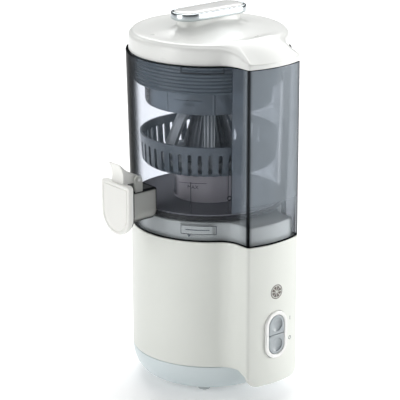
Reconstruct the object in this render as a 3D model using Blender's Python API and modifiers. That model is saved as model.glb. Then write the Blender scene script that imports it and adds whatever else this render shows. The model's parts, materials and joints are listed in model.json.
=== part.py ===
"""Centrifugal juicer: a round motor base with a front tower, a smoked clear container with a
slotted basket and a reamer cone inside it, a juice spout with a flap, and a lid with a pusher.

Sizes are in millimetres and MM turns them into metres. Every shape is laid out around the
vertical drive axis (x = y = 0 here); the root empty moves that axis to its place in the world,
so that the whole juicer stands on z = 0 with its bounding box centred on the origin.
"""
import math

import bmesh
import bpy
from mathutils import Matrix, Vector

MM = 0.001
GAP = 0.3                    # free space left between pieces that touch

# --- Driving dimensions: plan outline -------------------------------------------------------
BASE_R = 78.2                # round body, from the base band up to the container
TOP_R = 82.2                 # container at its upper edge
TOWER_HALF = 33.2            # half width of the front tower
TOWER_FRONT = 104.5          # distance from the drive axis to the bulging front face
FACE_R = 92.5                # curvature of the front face
CORNER_R = 4.5               # vertical edges of the front face
FILLET_R = 25.0              # hollow blend between round body and tower
ROUND_STEPS = 18             # straight pieces in each half of the round body
WALL = 2.5                   # moulded casings
SHELL_WALL = 2.2             # clear container

# --- Driving dimensions: heights ------------------------------------------------------------
BOWL_BOTTOM = 3.8
BAND_TOP = 34.0              # where the base bowl meets the housing
LEDGE_Z = 166.0              # where the container skirt stands on the housing
DECK_Z = 185.0               # raised platform inside the skirt
FLOOR_Z = 191.0              # underside of the juice bowl's floor
RIM_Z = 343.0                # upper edge of the container
LID_SIDE_Z = 357.0           # upper end of the lid's round side wall
LID_FRONT_Z = 347.5          # the same on the tower
LID_RIM_Z = 363.0
HANDLE_Z = 375.5             # underside of the pusher's oval head
TOP_Z = 384.5
LID_R = 79.4
PARTITION_HALF = 23.0        # degrees; the juice bowl's own wall closes the tower off
APRON_LOW = 18.5             # lowest point of the tower's front apron
APRON_FLAT = 22.0            # half width of the apron's straight lower edge
APRON_ROUND = 11.0           # how far the apron's corners rise
APRON_BACK = -84.0           # the apron has run out behind this line
APRON_TURN = -95.2           # and it starts to rise here

# --- Driving dimensions: spout and flap -----------------------------------------------------
SPOUT_HALF = 14.0
SPOUT_LOW = 182.5
SPOUT_HIGH = 217.5
SPOUT_MOUTH = -109.8
PIVOT_X = -99.5
PIVOT_Z = 229.0
FLAP_FACE = -118.5
FLAP_HALF = 22.0
FLAP_LOW = 173.5
FLAP_HIGH = 226.5
TAB_TIP_X = -119.0

# --- Driving dimensions: buttons ------------------------------------------------------------
BEZEL_PROUD = 1.4            # how far the bezel stands in front of the tower
BUTTON_Z = 70.3              # the line between the two buttons
BUTTON_HALF = 9.75
BUTTON_REACH = 20.25         # height of each button
BUTTON_FRONT = -105.6
BUTTON_TRAVEL = 2.0
BUTTON_DEPTH = 8.6
STEM_REACH = 2.6             # how far a button's stem stands out of its back
DISH_R = 17.0                # sphere that hollows a button's front
DISH_RIM = 6.3
BOARD_BOSS_X = 20.0
BOARD_BOSS_Z = 102.0
BOARD_FACE = -87.3           # end of the bosses that carry the switch board

# --- Driving dimensions: drive --------------------------------------------------------------
GEAR_MODULE = 1.25
GEAR_TEETH = 42
PINION_TEETH = 14
GEAR_Z = 114.0
GEAR_THICK = 8.0
PLATE_Z = 106.0
PLATE_THICK = 3.0
SHAFT_R = 4.0
MOTOR_SHAFT_R = 3.0
POST_R = 5.0                 # posts that carry the gearbox plate
POST_CIRCLE = 62.0
POST_ANGLES = (30, 150, 235)
MOTOR_SCREW_X = 23.0
STATOR_Z = 84.0
BRACKET_Z = 55.0
GLAND_Z = 48.0
CENTRE_DISTANCE = GEAR_MODULE * (GEAR_TEETH + PINION_TEETH) / 2 + 0.15
DOG_R = 8.0                  # corner radius of the six-sided coupling

# --- Driving dimensions: underside ----------------------------------------------------------
COVER_SCREW_R = 48.5
COVER_SCREW_ANGLES = (0, 90, 180, 270)
FOOT_CIRCLE = 50.0
FOOT_ANGLES = (45, 135, 225, 315)

# --- Driving dimensions: basket and reamer --------------------------------------------------
BASKET_R = 69.0
BASKET_Z = 228.0
BASKET_RIM_Z = 259.5
BASKET_FLOOR = 2.5
SLOTS = 42
REAMER_ARMS = 6
REAMER_TURN = 50.3           # degrees, where the first arm stands at rest
REAMER_ARM = 12.0            # width of an arm

# The box around the whole juicer runs from the thumb tab to the container's far side, and from
# the tower's face to the container's back.
AXIS_X = -(TAB_TIP_X + TOP_R) / 2
AXIS_Y = -(-TOWER_FRONT - BEZEL_PROUD + TOP_R) / 2

CREAM = (0.86, 0.85, 0.78)
WHITE = (0.90, 0.90, 0.87)
BLUE_GREY = (0.36, 0.43, 0.48)
SMOKE = (0.52, 0.60, 0.66)
DARK_SMOKE = (0.20, 0.25, 0.30)
GREY = (0.42, 0.47, 0.50)
DARK_GREY = (0.10, 0.12, 0.14)
BLACK = (0.02, 0.02, 0.02)
STEEL = (0.62, 0.62, 0.62)
CHROME = (0.80, 0.82, 0.84)
BRASS = (0.72, 0.55, 0.25)
COPPER = (0.60, 0.30, 0.15)
GREEN = (0.06, 0.22, 0.10)

parts = None
cutters = None
root = None


# --- Scene and object helpers ---------------------------------------------------------------
def clear_scene():
    for obj in list(bpy.data.objects):
        bpy.data.objects.remove(obj, do_unlink=True)


def new_collection(name):
    collection = bpy.data.collections.new(name)
    bpy.context.scene.collection.children.link(collection)
    return collection


def material(name, colour, roughness, metallic=0.0, alpha=1.0):
    mat = bpy.data.materials.get(name)
    if mat is None:
        mat = bpy.data.materials.new(name)
        mat.use_nodes = True
        shader = mat.node_tree.nodes["Principled BSDF"]
        shader.inputs["Base Color"].default_value = (*colour, 1.0)
        shader.inputs["Roughness"].default_value = roughness
        shader.inputs["Metallic"].default_value = metallic
        shader.inputs["Alpha"].default_value = alpha
    return mat


def empty(name, location, parent=None):
    """An axis marker. location is in world millimetres relative to the parent."""
    marker = bpy.data.objects.new(name, None)
    marker.location = Vector(location) * MM
    marker.parent = parent
    parts.objects.link(marker)
    return marker


def place(obj, mat, parent, location=(0, 0, 0), rotation=(0, 0, 0)):
    """Puts a finished object in the juicer and gives it its material."""
    obj.data.materials.clear()
    obj.data.materials.append(mat)
    obj.parent = parent
    obj.location = Vector(location) * MM
    obj.rotation_euler = [math.radians(angle) for angle in rotation]
    parts.objects.link(obj)
    if obj.type == "MESH":
        obj.data.shade_smooth()
        obj.data.set_sharp_from_angle(angle=math.radians(35))
    return obj


def as_cutter(obj, parent, location=(0, 0, 0), rotation=(0, 0, 0)):
    obj.parent = parent
    obj.location = Vector(location) * MM
    obj.rotation_euler = [math.radians(angle) for angle in rotation]
    obj.hide_render = True
    obj.display_type = "WIRE"
    cutters.objects.link(obj)
    return obj


def boolean(target, tool, operation="DIFFERENCE"):
    modifier = target.modifiers.new(operation.title() + " " + tool.name, "BOOLEAN")
    modifier.operation = operation
    modifier.object = tool
    modifier.solver = "EXACT"


# --- Shape helpers --------------------------------------------------------------------------
def mesh_object(name, bm):
    mesh = bpy.data.meshes.new(name)
    bmesh.ops.recalc_face_normals(bm, faces=bm.faces)
    bm.to_mesh(mesh)
    bm.free()
    return bpy.data.objects.new(name, mesh)


def turned(name, profile, steps=48, closed=True):
    """A profile of (radius, height) turned about z. It runs down its outer side."""
    mesh = bpy.data.meshes.new(name)
    points = [(radius * MM, 0, height * MM) for radius, height in profile]
    edges = [(i, i + 1) for i in range(len(points) - 1)]
    if closed:
        edges.append((len(points) - 1, 0))
    mesh.from_pydata(points, edges, [])
    obj = bpy.data.objects.new(name, mesh)
    screw = obj.modifiers.new("Screw", "SCREW")
    screw.axis = "Z"
    screw.angle = math.tau
    screw.steps = steps
    screw.render_steps = steps
    screw.use_merge_vertices = True
    screw.merge_threshold = 0.00001
    screw.use_smooth_shade = True
    return obj


def loft(name, rings, looped=True):
    """A skin through rings of equal length. Looped, it closes on itself; if not, it is capped."""
    bm = bmesh.new()
    rows = [[bm.verts.new(Vector(point) * MM) for point in ring] for ring in rings]
    count = len(rings[0])
    pairs = list(zip(rows, rows[1:]))
    if looped:
        pairs.append((rows[-1], rows[0]))
    for lower, upper in pairs:
        for i in range(count):
            j = (i + 1) % count
            bm.faces.new((lower[i], lower[j], upper[j], upper[i]))
    if not looped:
        bm.faces.new(list(reversed(rows[0])))
        bm.faces.new(rows[-1])
    return mesh_object(name, bm)


def box(name, size, centre=(0, 0, 0)):
    bm = bmesh.new()
    bmesh.ops.create_cube(bm, size=1.0, matrix=Matrix.Diagonal((*(Vector(size) * MM), 1.0)))
    bmesh.ops.translate(bm, verts=bm.verts, vec=Vector(centre) * MM)
    return mesh_object(name, bm)


def rod(name, radius, low, high, segments=24, top_radius=None):
    """A cylinder or cone about z from low to high."""
    bm = bmesh.new()
    middle = Matrix.Translation((0, 0, (low + high) / 2 * MM))
    radius_top = radius if top_radius is None else top_radius
    bmesh.ops.create_cone(bm, cap_ends=True, segments=segments, radius1=radius * MM,
                          radius2=radius_top * MM, depth=(high - low) * MM, matrix=middle)
    return mesh_object(name, bm)


def plate(name, outlines, thickness):
    """A flat outline with holes, filled and given a thickness about z = 0."""
    curve = bpy.data.curves.new(name, "CURVE")
    curve.dimensions = "2D"
    curve.fill_mode = "BOTH"
    curve.extrude = thickness / 2 * MM
    for outline in outlines:
        spline = curve.splines.new("POLY")
        spline.points.add(len(outline) - 1)
        spline.use_cyclic_u = True
        for point, (x, y) in zip(spline.points, outline):
            point.co = (x * MM, y * MM, 0, 1)
    return bpy.data.objects.new(name, curve)


def plate_mesh(name, outlines, thickness):
    """The same plate as a mesh, for pieces that are cut or joined."""
    outline_object = plate(name + "_outline", outlines, thickness)
    parts.objects.link(outline_object)
    graph = bpy.context.evaluated_depsgraph_get()
    mesh = bpy.data.meshes.new_from_object(outline_object.evaluated_get(graph))
    bpy.data.objects.remove(outline_object)
    bm = bmesh.new()
    bm.from_mesh(mesh)
    bpy.data.meshes.remove(mesh)
    bmesh.ops.remove_doubles(bm, verts=bm.verts, dist=0.000001)
    return mesh_object(name, bm)


def several(name, pieces):
    """One cutter or joint tool made of several closed meshes: (object, location, turn about z)."""
    bm = bmesh.new()
    for obj, location, turn in pieces:
        first = len(bm.verts)
        bm.from_mesh(obj.data)
        bm.verts.ensure_lookup_table()
        moved = bm.verts[first:]
        spin = Matrix.Rotation(math.radians(turn), 4, "Z")
        shift = Matrix.Translation(Vector(location) * MM)
        bmesh.ops.transform(bm, matrix=shift @ spin, verts=moved)
        bpy.data.objects.remove(obj)
    return mesh_object(name, bm)


# --- Outlines -------------------------------------------------------------------------------
def arc(x, y, radius, start, end, steps):
    turn = [math.radians(start + (end - start) * i / steps) for i in range(steps + 1)]
    return [(x + radius * math.cos(a), y + radius * math.sin(a)) for a in turn]


def circle(radius, steps=32, x=0.0, y=0.0):
    return arc(x, y, radius, 0, 360, steps)[:-1]


def rectangle(width, height, x=0.0, y=0.0):
    half, reach = width / 2, height / 2
    return [(x - half, y - reach), (x + half, y - reach), (x + half, y + reach), (x - half, y + reach)]


def on_circle(radius, angle):
    return radius * math.cos(math.radians(angle)), radius * math.sin(math.radians(angle))


def direction(x, y):
    return math.degrees(math.atan2(y, x)) % 360


def keyhole(radius, inset=0.0):
    """Plan of the body: a circle blended into the front tower, from the back round by -x."""
    fillet_x = TOWER_HALF + FILLET_R
    fillet_y = -math.sqrt((radius + FILLET_R) ** 2 - fillet_x ** 2)
    meeting = direction(-fillet_x, fillet_y)
    corner = max(CORNER_R - inset, 0.5)
    face = FACE_R - inset
    face_y = FACE_R - TOWER_FRONT
    corner_x = TOWER_HALF - inset - corner
    corner_y = face_y - math.sqrt((face - corner) ** 2 - corner_x ** 2)
    turn = direction(-corner_x, corner_y - face_y)
    half = arc(0, 0, radius - inset, 90, meeting, ROUND_STEPS)
    half += arc(-fillet_x, fillet_y, FILLET_R + inset, meeting - 180, 0, 4)[1:]
    half += arc(-corner_x, corner_y, corner, 180, turn, 3)
    half += arc(0, face_y, face, turn, 270, 4)[1:]
    return half + [(-x, y) for x, y in reversed(half[1:-1])]


def polar_circle(radius, outline):
    """A circle with one point in the direction of each point of an outline."""
    angles = [math.atan2(y, x) for x, y in outline]
    return [(radius * math.cos(a), radius * math.sin(a)) for a in angles]


def polar_pill(length, width, outline):
    """A pill along x, seen from its middle in the direction of each point of an outline."""
    end = width / 2
    straight = length / 2 - end
    points = []
    for x, y in outline:
        a = math.atan2(y, x)
        if abs(math.sin(a)) * straight > end * abs(math.cos(a)):
            reach = end / abs(math.sin(a))
        else:
            side = straight * math.sin(a)
            reach = straight * abs(math.cos(a)) + math.sqrt(end ** 2 - side ** 2)
        points.append((reach * math.cos(a), reach * math.sin(a)))
    return points


def pill(length, width, steps=12):
    """A pill along x."""
    end = width / 2
    straight = length / 2 - end
    return arc(straight, 0, end, -90, 90, steps) + arc(-straight, 0, end, 90, 270, steps)


def at_height(outline, z):
    return [(x, y, z) for x, y in outline]


def container_radius(z):
    return BASE_R + (TOP_R - BASE_R) * (z - LEDGE_Z) / (RIM_Z - LEDGE_Z)


def gear_outline(teeth, phase):
    """Involute teeth with backlash; one tooth points in the direction phase."""
    pressure = math.radians(20)
    pitch = GEAR_MODULE * teeth / 2
    base = pitch * math.cos(pressure)
    tip = pitch + 0.85 * GEAR_MODULE
    foot = pitch - 1.15 * GEAR_MODULE
    half_tooth = math.pi / (2 * teeth) - 0.12 / pitch

    def involute(radius):
        angle = math.acos(min(base / radius, 1.0))
        return math.tan(angle) - angle

    def flank(radius):
        return half_tooth + involute(pitch) - involute(max(radius, base))

    radii = (foot, pitch, tip) if foot > base else (foot, base, pitch, tip)
    points = []
    for tooth in range(teeth):
        middle = math.radians(phase) + math.tau * tooth / teeth
        turn = [(r, middle - flank(r)) for r in radii] + [(r, middle + flank(r)) for r in reversed(radii)]
        points += [(r * math.cos(a), r * math.sin(a)) for r, a in turn]
    return points


# --- Base: casings and covers ---------------------------------------------------------------
def apron_edge(x, y):
    """Height of the housing's lower edge: level round the body, low and rounded on the tower."""
    if y > APRON_BACK:
        return BAND_TOP
    reach = max(abs(x) - APRON_FLAT, 0) / (TOWER_HALF - APRON_FLAT)
    lowest = APRON_LOW + APRON_ROUND * (1 - math.sqrt(max(1 - reach ** 2, 0)))
    behind = min(max((y - APRON_TURN) / (APRON_BACK - APRON_TURN), 0), 1)
    return lowest + (BAND_TOP - lowest) * behind


def motor_housing():
    outer = keyhole(BASE_R)
    edge = [apron_edge(x, y) for x, y in outer]

    def along_edge(outline):
        return [(x, y, z) for (x, y), z in zip(outline, edge)]

    def polar(radius, z):
        return at_height(polar_circle(radius, outer), z)

    def inset(amount, z):
        return at_height(keyhole(BASE_R, amount), z)

    rings = [
        along_edge(outer), inset(0, LEDGE_Z - 0.8), inset(0.8, LEDGE_Z), inset(4.5, LEDGE_Z),
        inset(4.9, DECK_Z - 1.5), inset(6.4, DECK_Z), polar(29, DECK_Z), polar(27, DECK_Z + 2),
        polar(24.5, 210), polar(23, 211.5), polar(9.3, 211.5), polar(9.3, 205), polar(21.8, 205),
        polar(24, DECK_Z - WALL), inset(7.6, DECK_Z - WALL), inset(7.3, LEDGE_Z - WALL),
        inset(WALL, LEDGE_Z - WALL), along_edge(keyhole(BASE_R, WALL)),
    ]
    housing = loft("motor_housing", rings)
    posts = []
    bores = []
    for angle in POST_ANGLES:
        foot = (*on_circle(POST_CIRCLE, angle), 0)
        posts.append((rod("post", POST_R, PLATE_Z + PLATE_THICK + GAP, DECK_Z - 1, 16), foot, 0))
        bores.append((rod("bore", 1.9, PLATE_Z, PLATE_Z + 18, 12), foot, 0))
    boolean(housing, as_cutter(several("posts", posts), root), "UNION")
    bosses = [(rod("boss", 3.5, -101.6, BOARD_FACE, 16), (side * BOARD_BOSS_X, BOARD_BOSS_Z, 0), 0)
              for side in (-1, 1)]
    boss_pair = several("board_bosses", bosses)
    boolean(housing, as_cutter(boss_pair, root, rotation=(90, 0, 180)), "UNION")
    boolean(housing, as_cutter(several("post_bores", bores), root))
    boss_bores = [(rod("bore", 1.4, -97, -80, 12), (side * BOARD_BOSS_X, BOARD_BOSS_Z, 0), 0)
                  for side in (-1, 1)]
    boolean(housing, as_cutter(several("board_bores", boss_bores), root, rotation=(90, 0, 180)))
    window = plate_mesh("bezel_hole", [upright(pill(50.6, 28.6))], 20)
    boolean(housing, as_cutter(window, root, (0, -TOWER_FRONT, BUTTON_Z), (90, 0, 0)))
    gland_hole = rod("gland_hole", 6.3, -10, 10, 24)
    boolean(housing, as_cutter(gland_hole, root, (0, BASE_R, GLAND_Z), (90, 0, 0)))
    place(housing, material("housing_cream", CREAM, 0.45), root)


def upright(outline):
    return [(y, x) for x, y in outline]


def base_bowl():
    lip_r = BASE_R - WALL - 0.4
    outside = [(BASE_R - 0.2, BAND_TOP - GAP), (77.2, 26), (74.6, 17.5), (69, 9.3), (57, BOWL_BOTTOM)]
    inside = [(44, BOWL_BOTTOM), (44, 6.3), (56.5, 6.3), (67.2, 11.4), (72.3, 19), (lip_r - 2.2, 27),
              (lip_r - 2.2, 39), (lip_r, 39), (lip_r, BAND_TOP - GAP)]
    bowl = turned("base_bowl", outside + inside)
    holes = several("bowl_screw_holes", cover_holes())
    boolean(bowl, as_cutter(holes, root))
    place(bowl, material("base_blue_grey", BLUE_GREY, 0.35, 0.3), root)


def around(radius, angles, make):
    """Copies of a piece on a circle about z, for the several() tool."""
    spread = []
    for angle in angles:
        spread.append((make(), (*on_circle(radius, angle), 0), angle))
    return spread


def cover_holes():
    return around(COVER_SCREW_R, COVER_SCREW_ANGLES, lambda: rod("hole", 1.7, 0, 12, 12))


def bottom_cover():
    cover = rod("bottom_cover", 54, 6.3 + GAP, 9.1, 48)
    holes = several("cover_screw_holes", cover_holes())
    boolean(cover, as_cutter(holes, root))
    vents = around(26, range(0, 360, 60), lambda: box("vent", (22, 4, 10), (0, 0, 8)))
    boolean(cover, as_cutter(several("cover_vents", vents), root))
    place(cover, material("cover_grey", GREY, 0.6), root)


def tower_bottom_cover():
    outline = keyhole(BASE_R, WALL + 0.4)
    low = BAND_TOP + GAP
    rings = [at_height(outline, low), at_height(outline, low + 2)]
    cover = loft("tower_bottom_cover", rings, looped=False)
    boolean(cover, as_cutter(rod("cover_round", BASE_R - WALL - 0.05, 20, 60, 96), root))
    place(cover, material("cover_grey", GREY, 0.6), root)


def feet_and_cover_screws():
    seat = BOWL_BOTTOM - GAP
    for number, angle in enumerate(FOOT_ANGLES, 1):
        foot = rod("foot_%d" % number, 6.2, 0, seat, 20)
        place(foot, material("foot_rubber", BLACK, 0.8), root, (*on_circle(FOOT_CIRCLE, angle), 0))
    profile = [(0, 12.5), (1.4, 12.5), (1.4, seat), (3, seat), (3, 2.3), (2.2, 1.6), (0, 1.6)]
    for number, angle in enumerate(COVER_SCREW_ANGLES, 1):
        screw = turned("cover_screw_%d" % number, profile, 10, closed=False)
        steel = material("screw_steel", STEEL, 0.3, 1.0)
        place(screw, steel, root, (*on_circle(COVER_SCREW_R, angle), 0))


def cord_gland():
    profile = [(8.5, 3), (8.5, 0.4), (6, 0.4), (6, -6), (3.2, -6), (3.2, 3)]
    gland = turned("cord_gland", profile, 20)
    place(gland, material("gland_rubber", BLACK, 0.7), root, (0, BASE_R, GLAND_Z), (-90, 0, 0))


def lock_lug():
    strips = [bent_strip(BASE_R - 4.1, BASE_R - 2.7, -152, -127, z) for z in (172.5, 182.5)]
    lug = loft("lock_lug", strips, looped=False)
    place(lug, material("lug_cream", CREAM, 0.5), root)


def bent_strip(inner, outer, start, end, z, steps=6):
    """Plan of a strip bent round the drive axis between two directions."""
    return at_height(arc(0, 0, outer, start, end, steps) + arc(0, 0, inner, end, start, steps), z)


# --- Base: gearbox and motor ----------------------------------------------------------------
def gearbox_plate():
    plate_r = 70.0
    slab = rod("gearbox_plate", plate_r, PLATE_Z, PLATE_Z + PLATE_THICK, 48)
    boolean(slab, as_cutter(rod("bearing_seat", 9.0, 90, 120, 32), root))
    boolean(slab, as_cutter(rod("motor_shaft_hole", 6.0, 90, 120, 24), root, (0, CENTRE_DISTANCE, 0)))
    holes = around(POST_CIRCLE, POST_ANGLES, lambda: rod("hole", 1.9, 90, 120, 12))
    for side in (-1, 1):
        holes.append((rod("hole", 1.9, 90, 120, 12), (side * MOTOR_SCREW_X, CENTRE_DISTANCE, 0), 0))
    boolean(slab, as_cutter(several("plate_screw_holes", holes), root))
    place(slab, material("plate_steel", STEEL, 0.4, 1.0), root)
    low = PLATE_Z - GAP
    profile = [(0, low + 15), (1.6, low + 15), (1.6, low), (3.4, low), (3.4, low - 2), (0, low - 2)]
    for number, angle in enumerate(POST_ANGLES, 1):
        screw = turned("plate_screw_%d" % number, profile, 10, closed=False)
        steel = material("screw_steel", STEEL, 0.3, 1.0)
        place(screw, steel, root, (*on_circle(POST_CIRCLE, angle), 0))


def bearings():
    def sleeve(name, bore, radius, low, high):
        return turned(name, [(radius, high), (radius, low), (bore, low), (bore, high)], 24)

    lower = sleeve("lower_bearing", SHAFT_R + 0.2, 8.7, PLATE_Z - 5, PLATE_Z + 4)
    upper = sleeve("upper_bearing", SHAFT_R + 0.2, 9, 203, 209)
    small = sleeve("motor_bearing", MOTOR_SHAFT_R + 0.2, 5, 52, 57.5)
    lip = SHAFT_R + GAP
    lips = [(8, 213.5), (9, 212.5), (9, 209.3), (lip, 209.3), (lip, 213.5)]
    seal = turned("shaft_seal", lips, 24)
    bronze = material("bearing_bronze", BRASS, 0.35, 1.0)
    place(lower, bronze, root)
    place(upper, bronze, root)
    place(small, bronze, root, (0, CENTRE_DISTANCE, 0))
    place(seal, material("seal_rubber", BLACK, 0.7), root)


def motor_stator():
    middle = (0, CENTRE_DISTANCE, STATOR_Z)
    stack = plate_mesh("motor_stator", [rectangle(56, 42), circle(18.5, 32)], 30)
    holes = [(rod("hole", 2.1, -30, 30, 12), (side * MOTOR_SCREW_X, 0, 0), 0) for side in (-1, 1)]
    boolean(stack, as_cutter(several("stator_holes", holes), root, middle))
    place(stack, material("stator_iron", DARK_GREY, 0.5, 0.8), root, middle)


def motor_bracket():
    """The bar that holds the motor's lower bearing, with two sleeves up to the stator."""
    middle = (0, CENTRE_DISTANCE, BRACKET_Z)
    bar = plate_mesh("motor_bracket", [rectangle(56, 16), circle(5.3, 24)], 3)
    sleeves = []
    holes = []
    for side in (-1, 1):
        sleeves.append((rod("sleeve", 3.6, 0.5, 13.5, 16), (side * MOTOR_SCREW_X, 0, 0), 0))
        holes.append((rod("hole", 2.1, -10, 20, 12), (side * MOTOR_SCREW_X, 0, 0), 0))
    boolean(bar, as_cutter(several("bracket_sleeves", sleeves), root, middle), "UNION")
    boolean(bar, as_cutter(several("bracket_holes", holes), root, middle))
    place(bar, material("plate_steel", STEEL, 0.4, 1.0), root, middle)
    low = BRACKET_Z - 1.8
    profile = [(0, 112), (1.6, 112), (1.6, low), (3.4, low), (3.4, low - 2), (0, low - 2)]
    for number, side in enumerate((-1, 1), 1):
        screw = turned("motor_screw_%d" % number, profile, 10, closed=False)
        steel = material("screw_steel", STEEL, 0.3, 1.0)
        place(screw, steel, root, (side * MOTOR_SCREW_X, CENTRE_DISTANCE, 0))


def motor_rotor(axis):
    steel = material("shaft_steel", STEEL, 0.25, 1.0)
    place(rod("motor_shaft", MOTOR_SHAFT_R, 44, GEAR_Z + GEAR_THICK + 3, 16), steel, axis)
    hole = MOTOR_SHAFT_R + GAP
    armature = turned("armature", [(17.5, 98), (17.5, 70), (hole, 70), (hole, 98)], 24)
    place(armature, material("armature_copper", COPPER, 0.4, 0.7), axis)
    commutator = turned("commutator", [(9, 67), (9, 59), (hole, 59), (hole, 67)], 20)
    place(commutator, material("commutator_copper", COPPER, 0.3, 1.0), axis)
    fan = turned("motor_fan", [(22, 50), (22, 48), (hole, 45), (hole, 50)], 20)
    place(fan, material("fan_plastic", DARK_GREY, 0.6), axis)
    teeth = gear_outline(PINION_TEETH, -90 + 180 / PINION_TEETH)
    pinion = plate("pinion", [teeth, circle(hole, 16)], GEAR_THICK + 2)
    place(pinion, material("gear_brass", BRASS, 0.35, 1.0), axis, (0, 0, GEAR_Z + GEAR_THICK / 2))


def drive_train(axis):
    steel = material("shaft_steel", STEEL, 0.25, 1.0)
    place(rod("output_shaft", SHAFT_R, PLATE_Z - 8, 236, 20), steel, axis)
    gear = plate("drive_gear", [gear_outline(GEAR_TEETH, 90), circle(SHAFT_R + GAP, 20)], GEAR_THICK)
    place(gear, material("gear_nylon", WHITE, 0.5), axis, (0, 0, GEAR_Z + GEAR_THICK / 2))
    dog = plate("drive_coupling", [circle(DOG_R, 6), circle(SHAFT_R + GAP, 20)], 18)
    place(dog, material("coupling_nylon", DARK_GREY, 0.5), axis, (0, 0, 226.5))


# --- Base: switches and buttons -------------------------------------------------------------
def switch_bezel():
    def ring(length, width, depth):
        return at_height(upright(pill(length, width, 10)), depth)

    front = TOWER_FRONT + BEZEL_PROUD
    flange = front - 6
    back = flange - 2.1
    rings = [ring(55, 33, back), ring(55, 33, flange), ring(50, 28, flange),
             ring(50, 28, front - 0.7), ring(48.6, 26.6, front), ring(42.2, 21.2, front),
             ring(41.1, 20.1, front - 0.6), ring(41.1, 20.1, back)]
    bezel = loft("switch_bezel", rings)
    place(bezel, material("bezel_white", WHITE, 0.3), root, (0, 0, BUTTON_Z), (90, 0, 0))


def button(name, side):
    """Half of the pill; side is +1 above the dividing line and -1 below it."""
    low = 0.25
    shoulder = BUTTON_REACH - BUTTON_HALF
    outline = [(-BUTTON_HALF, low), (BUTTON_HALF, low)] + arc(0, shoulder, BUTTON_HALF, 0, 180, 12)
    cap = plate_mesh(name, [[(x, y * side) for x, y in outline]], BUTTON_DEPTH)
    stem_depth = STEM_REACH + 1.4
    stem_middle = (0, side * shoulder, -BUTTON_DEPTH / 2 - STEM_REACH + stem_depth / 2)
    stem = box(name + "_stem", (6, 6, stem_depth), stem_middle)
    frame = empty(name + "_slide", (0, BUTTON_FRONT + BUTTON_DEPTH / 2, BUTTON_Z), root)
    boolean(cap, as_cutter(stem, frame, rotation=(90, 0, 0)), "UNION")
    floor = math.sqrt(DISH_R ** 2 - DISH_RIM ** 2)
    steps = 4
    across = [DISH_RIM * (1 - i / steps) for i in range(steps + 1)]
    profile = [(0, 3), (DISH_RIM, 3)]
    profile += [(r, floor - math.sqrt(DISH_R ** 2 - r ** 2)) for r in across]
    dish = turned(name + "_dish", profile, 24, closed=False)
    boolean(cap, as_cutter(dish, frame, (0, -BUTTON_DEPTH / 2, side * shoulder), (90, 0, 0)))
    place(cap, material("button_grey", GREY, 0.4), frame, rotation=(90, 0, 0))


def switch_board():
    thickness = 1.6
    board = plate_mesh("switch_board", [rectangle(50, 66, 0, 75)], thickness)
    holes = []
    for side in (-1, 1):
        holes.append((rod("hole", 1.7, -10, 10, 12), (side * BOARD_BOSS_X, BOARD_BOSS_Z, 0), 0))
    middle = BOARD_FACE + GAP + thickness / 2
    boolean(board, as_cutter(several("board_holes", holes), root, (0, middle, 0), (90, 0, 0)))
    place(board, material("board_green", GREEN, 0.5), root, (0, middle, 0), (90, 0, 0))
    stem_end = BUTTON_FRONT + BUTTON_DEPTH + STEM_REACH
    block_front = stem_end + BUTTON_TRAVEL + GAP
    block_depth = BOARD_FACE - block_front
    for name, side in (("switch_block_upper", 1), ("switch_block_lower", -1)):
        block = box(name, (9, block_depth, 9))
        height = BUTTON_Z + side * (BUTTON_REACH - BUTTON_HALF)
        black = material("switch_black", BLACK, 0.5)
        place(block, black, root, (0, block_front + block_depth / 2, height))
    head = BOARD_FACE + 2 * GAP + 2 * thickness
    profile = [(0, 0), (2.6, 0), (2.6, -1.6), (1.2, -1.6), (1.2, -9), (0, -9)]
    for number, side in enumerate((-1, 1), 1):
        screw = turned("board_screw_%d" % number, profile, 10, closed=False)
        steel = material("screw_steel", STEEL, 0.3, 1.0)
        place(screw, steel, root, (side * BOARD_BOSS_X, head, BOARD_BOSS_Z), (-90, 0, 0))


def interlock_switch():
    block = box("interlock_switch", (16, 9, 12))
    place(block, material("switch_black", BLACK, 0.5), root, (-50, -22, 175.8))


# --- Container ------------------------------------------------------------------------------
def container_shell(axis):
    def ring(inset, z):
        return at_height(keyhole(container_radius(z), inset), z)

    low, high = LEDGE_Z + GAP, RIM_Z
    rings = [ring(0, low), ring(0, high), ring(SHELL_WALL, high), ring(SHELL_WALL, low)]
    shell = loft("container_shell", rings)
    mouth = arc(0, 205, 11, 0, 180, 8) + [(-11, 194), (11, 194)]
    hole = plate_mesh("spout_hole", [mouth], 20)
    boolean(shell, as_cutter(hole, axis, (-80, 0, 0), (90, 0, 90)))
    place(shell, material("container_smoke", SMOKE, 0.08, alpha=0.4), axis)


def juice_bowl(axis):
    floor_r = 75.2
    upper = FLOOR_Z + 2.2
    profile = [(34.5, 223), (34.5, upper + 1), (35.5, upper), (floor_r, upper), (floor_r, FLOOR_Z),
               (32.3, FLOOR_Z), (32.3, 221), (10, 221), (10, 224.5), (33, 224.5)]
    bowl = turned("juice_bowl", profile)
    heights = (FLOOR_Z + 0.6, RIM_Z - 1.5)
    strips = []
    for z in heights:
        outer = container_radius(z) - SHELL_WALL - 0.6
        start, end = -90 - PARTITION_HALF, -90 + PARTITION_HALF
        strips.append(bent_strip(outer - 1.7, outer, start, end, z, 10))
    wall = loft("partition", strips, looped=False)
    boolean(bowl, as_cutter(wall, axis), "UNION")
    place(bowl, material("bowl_smoke", SMOKE, 0.1, alpha=0.45), axis)


def bowl_seal(axis):
    seal = turned("bowl_seal", [(76, 190.7), (76, 187.9), (71, 187.9), (71, 190.7)])
    place(seal, material("seal_rubber", BLACK, 0.7), axis)


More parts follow.
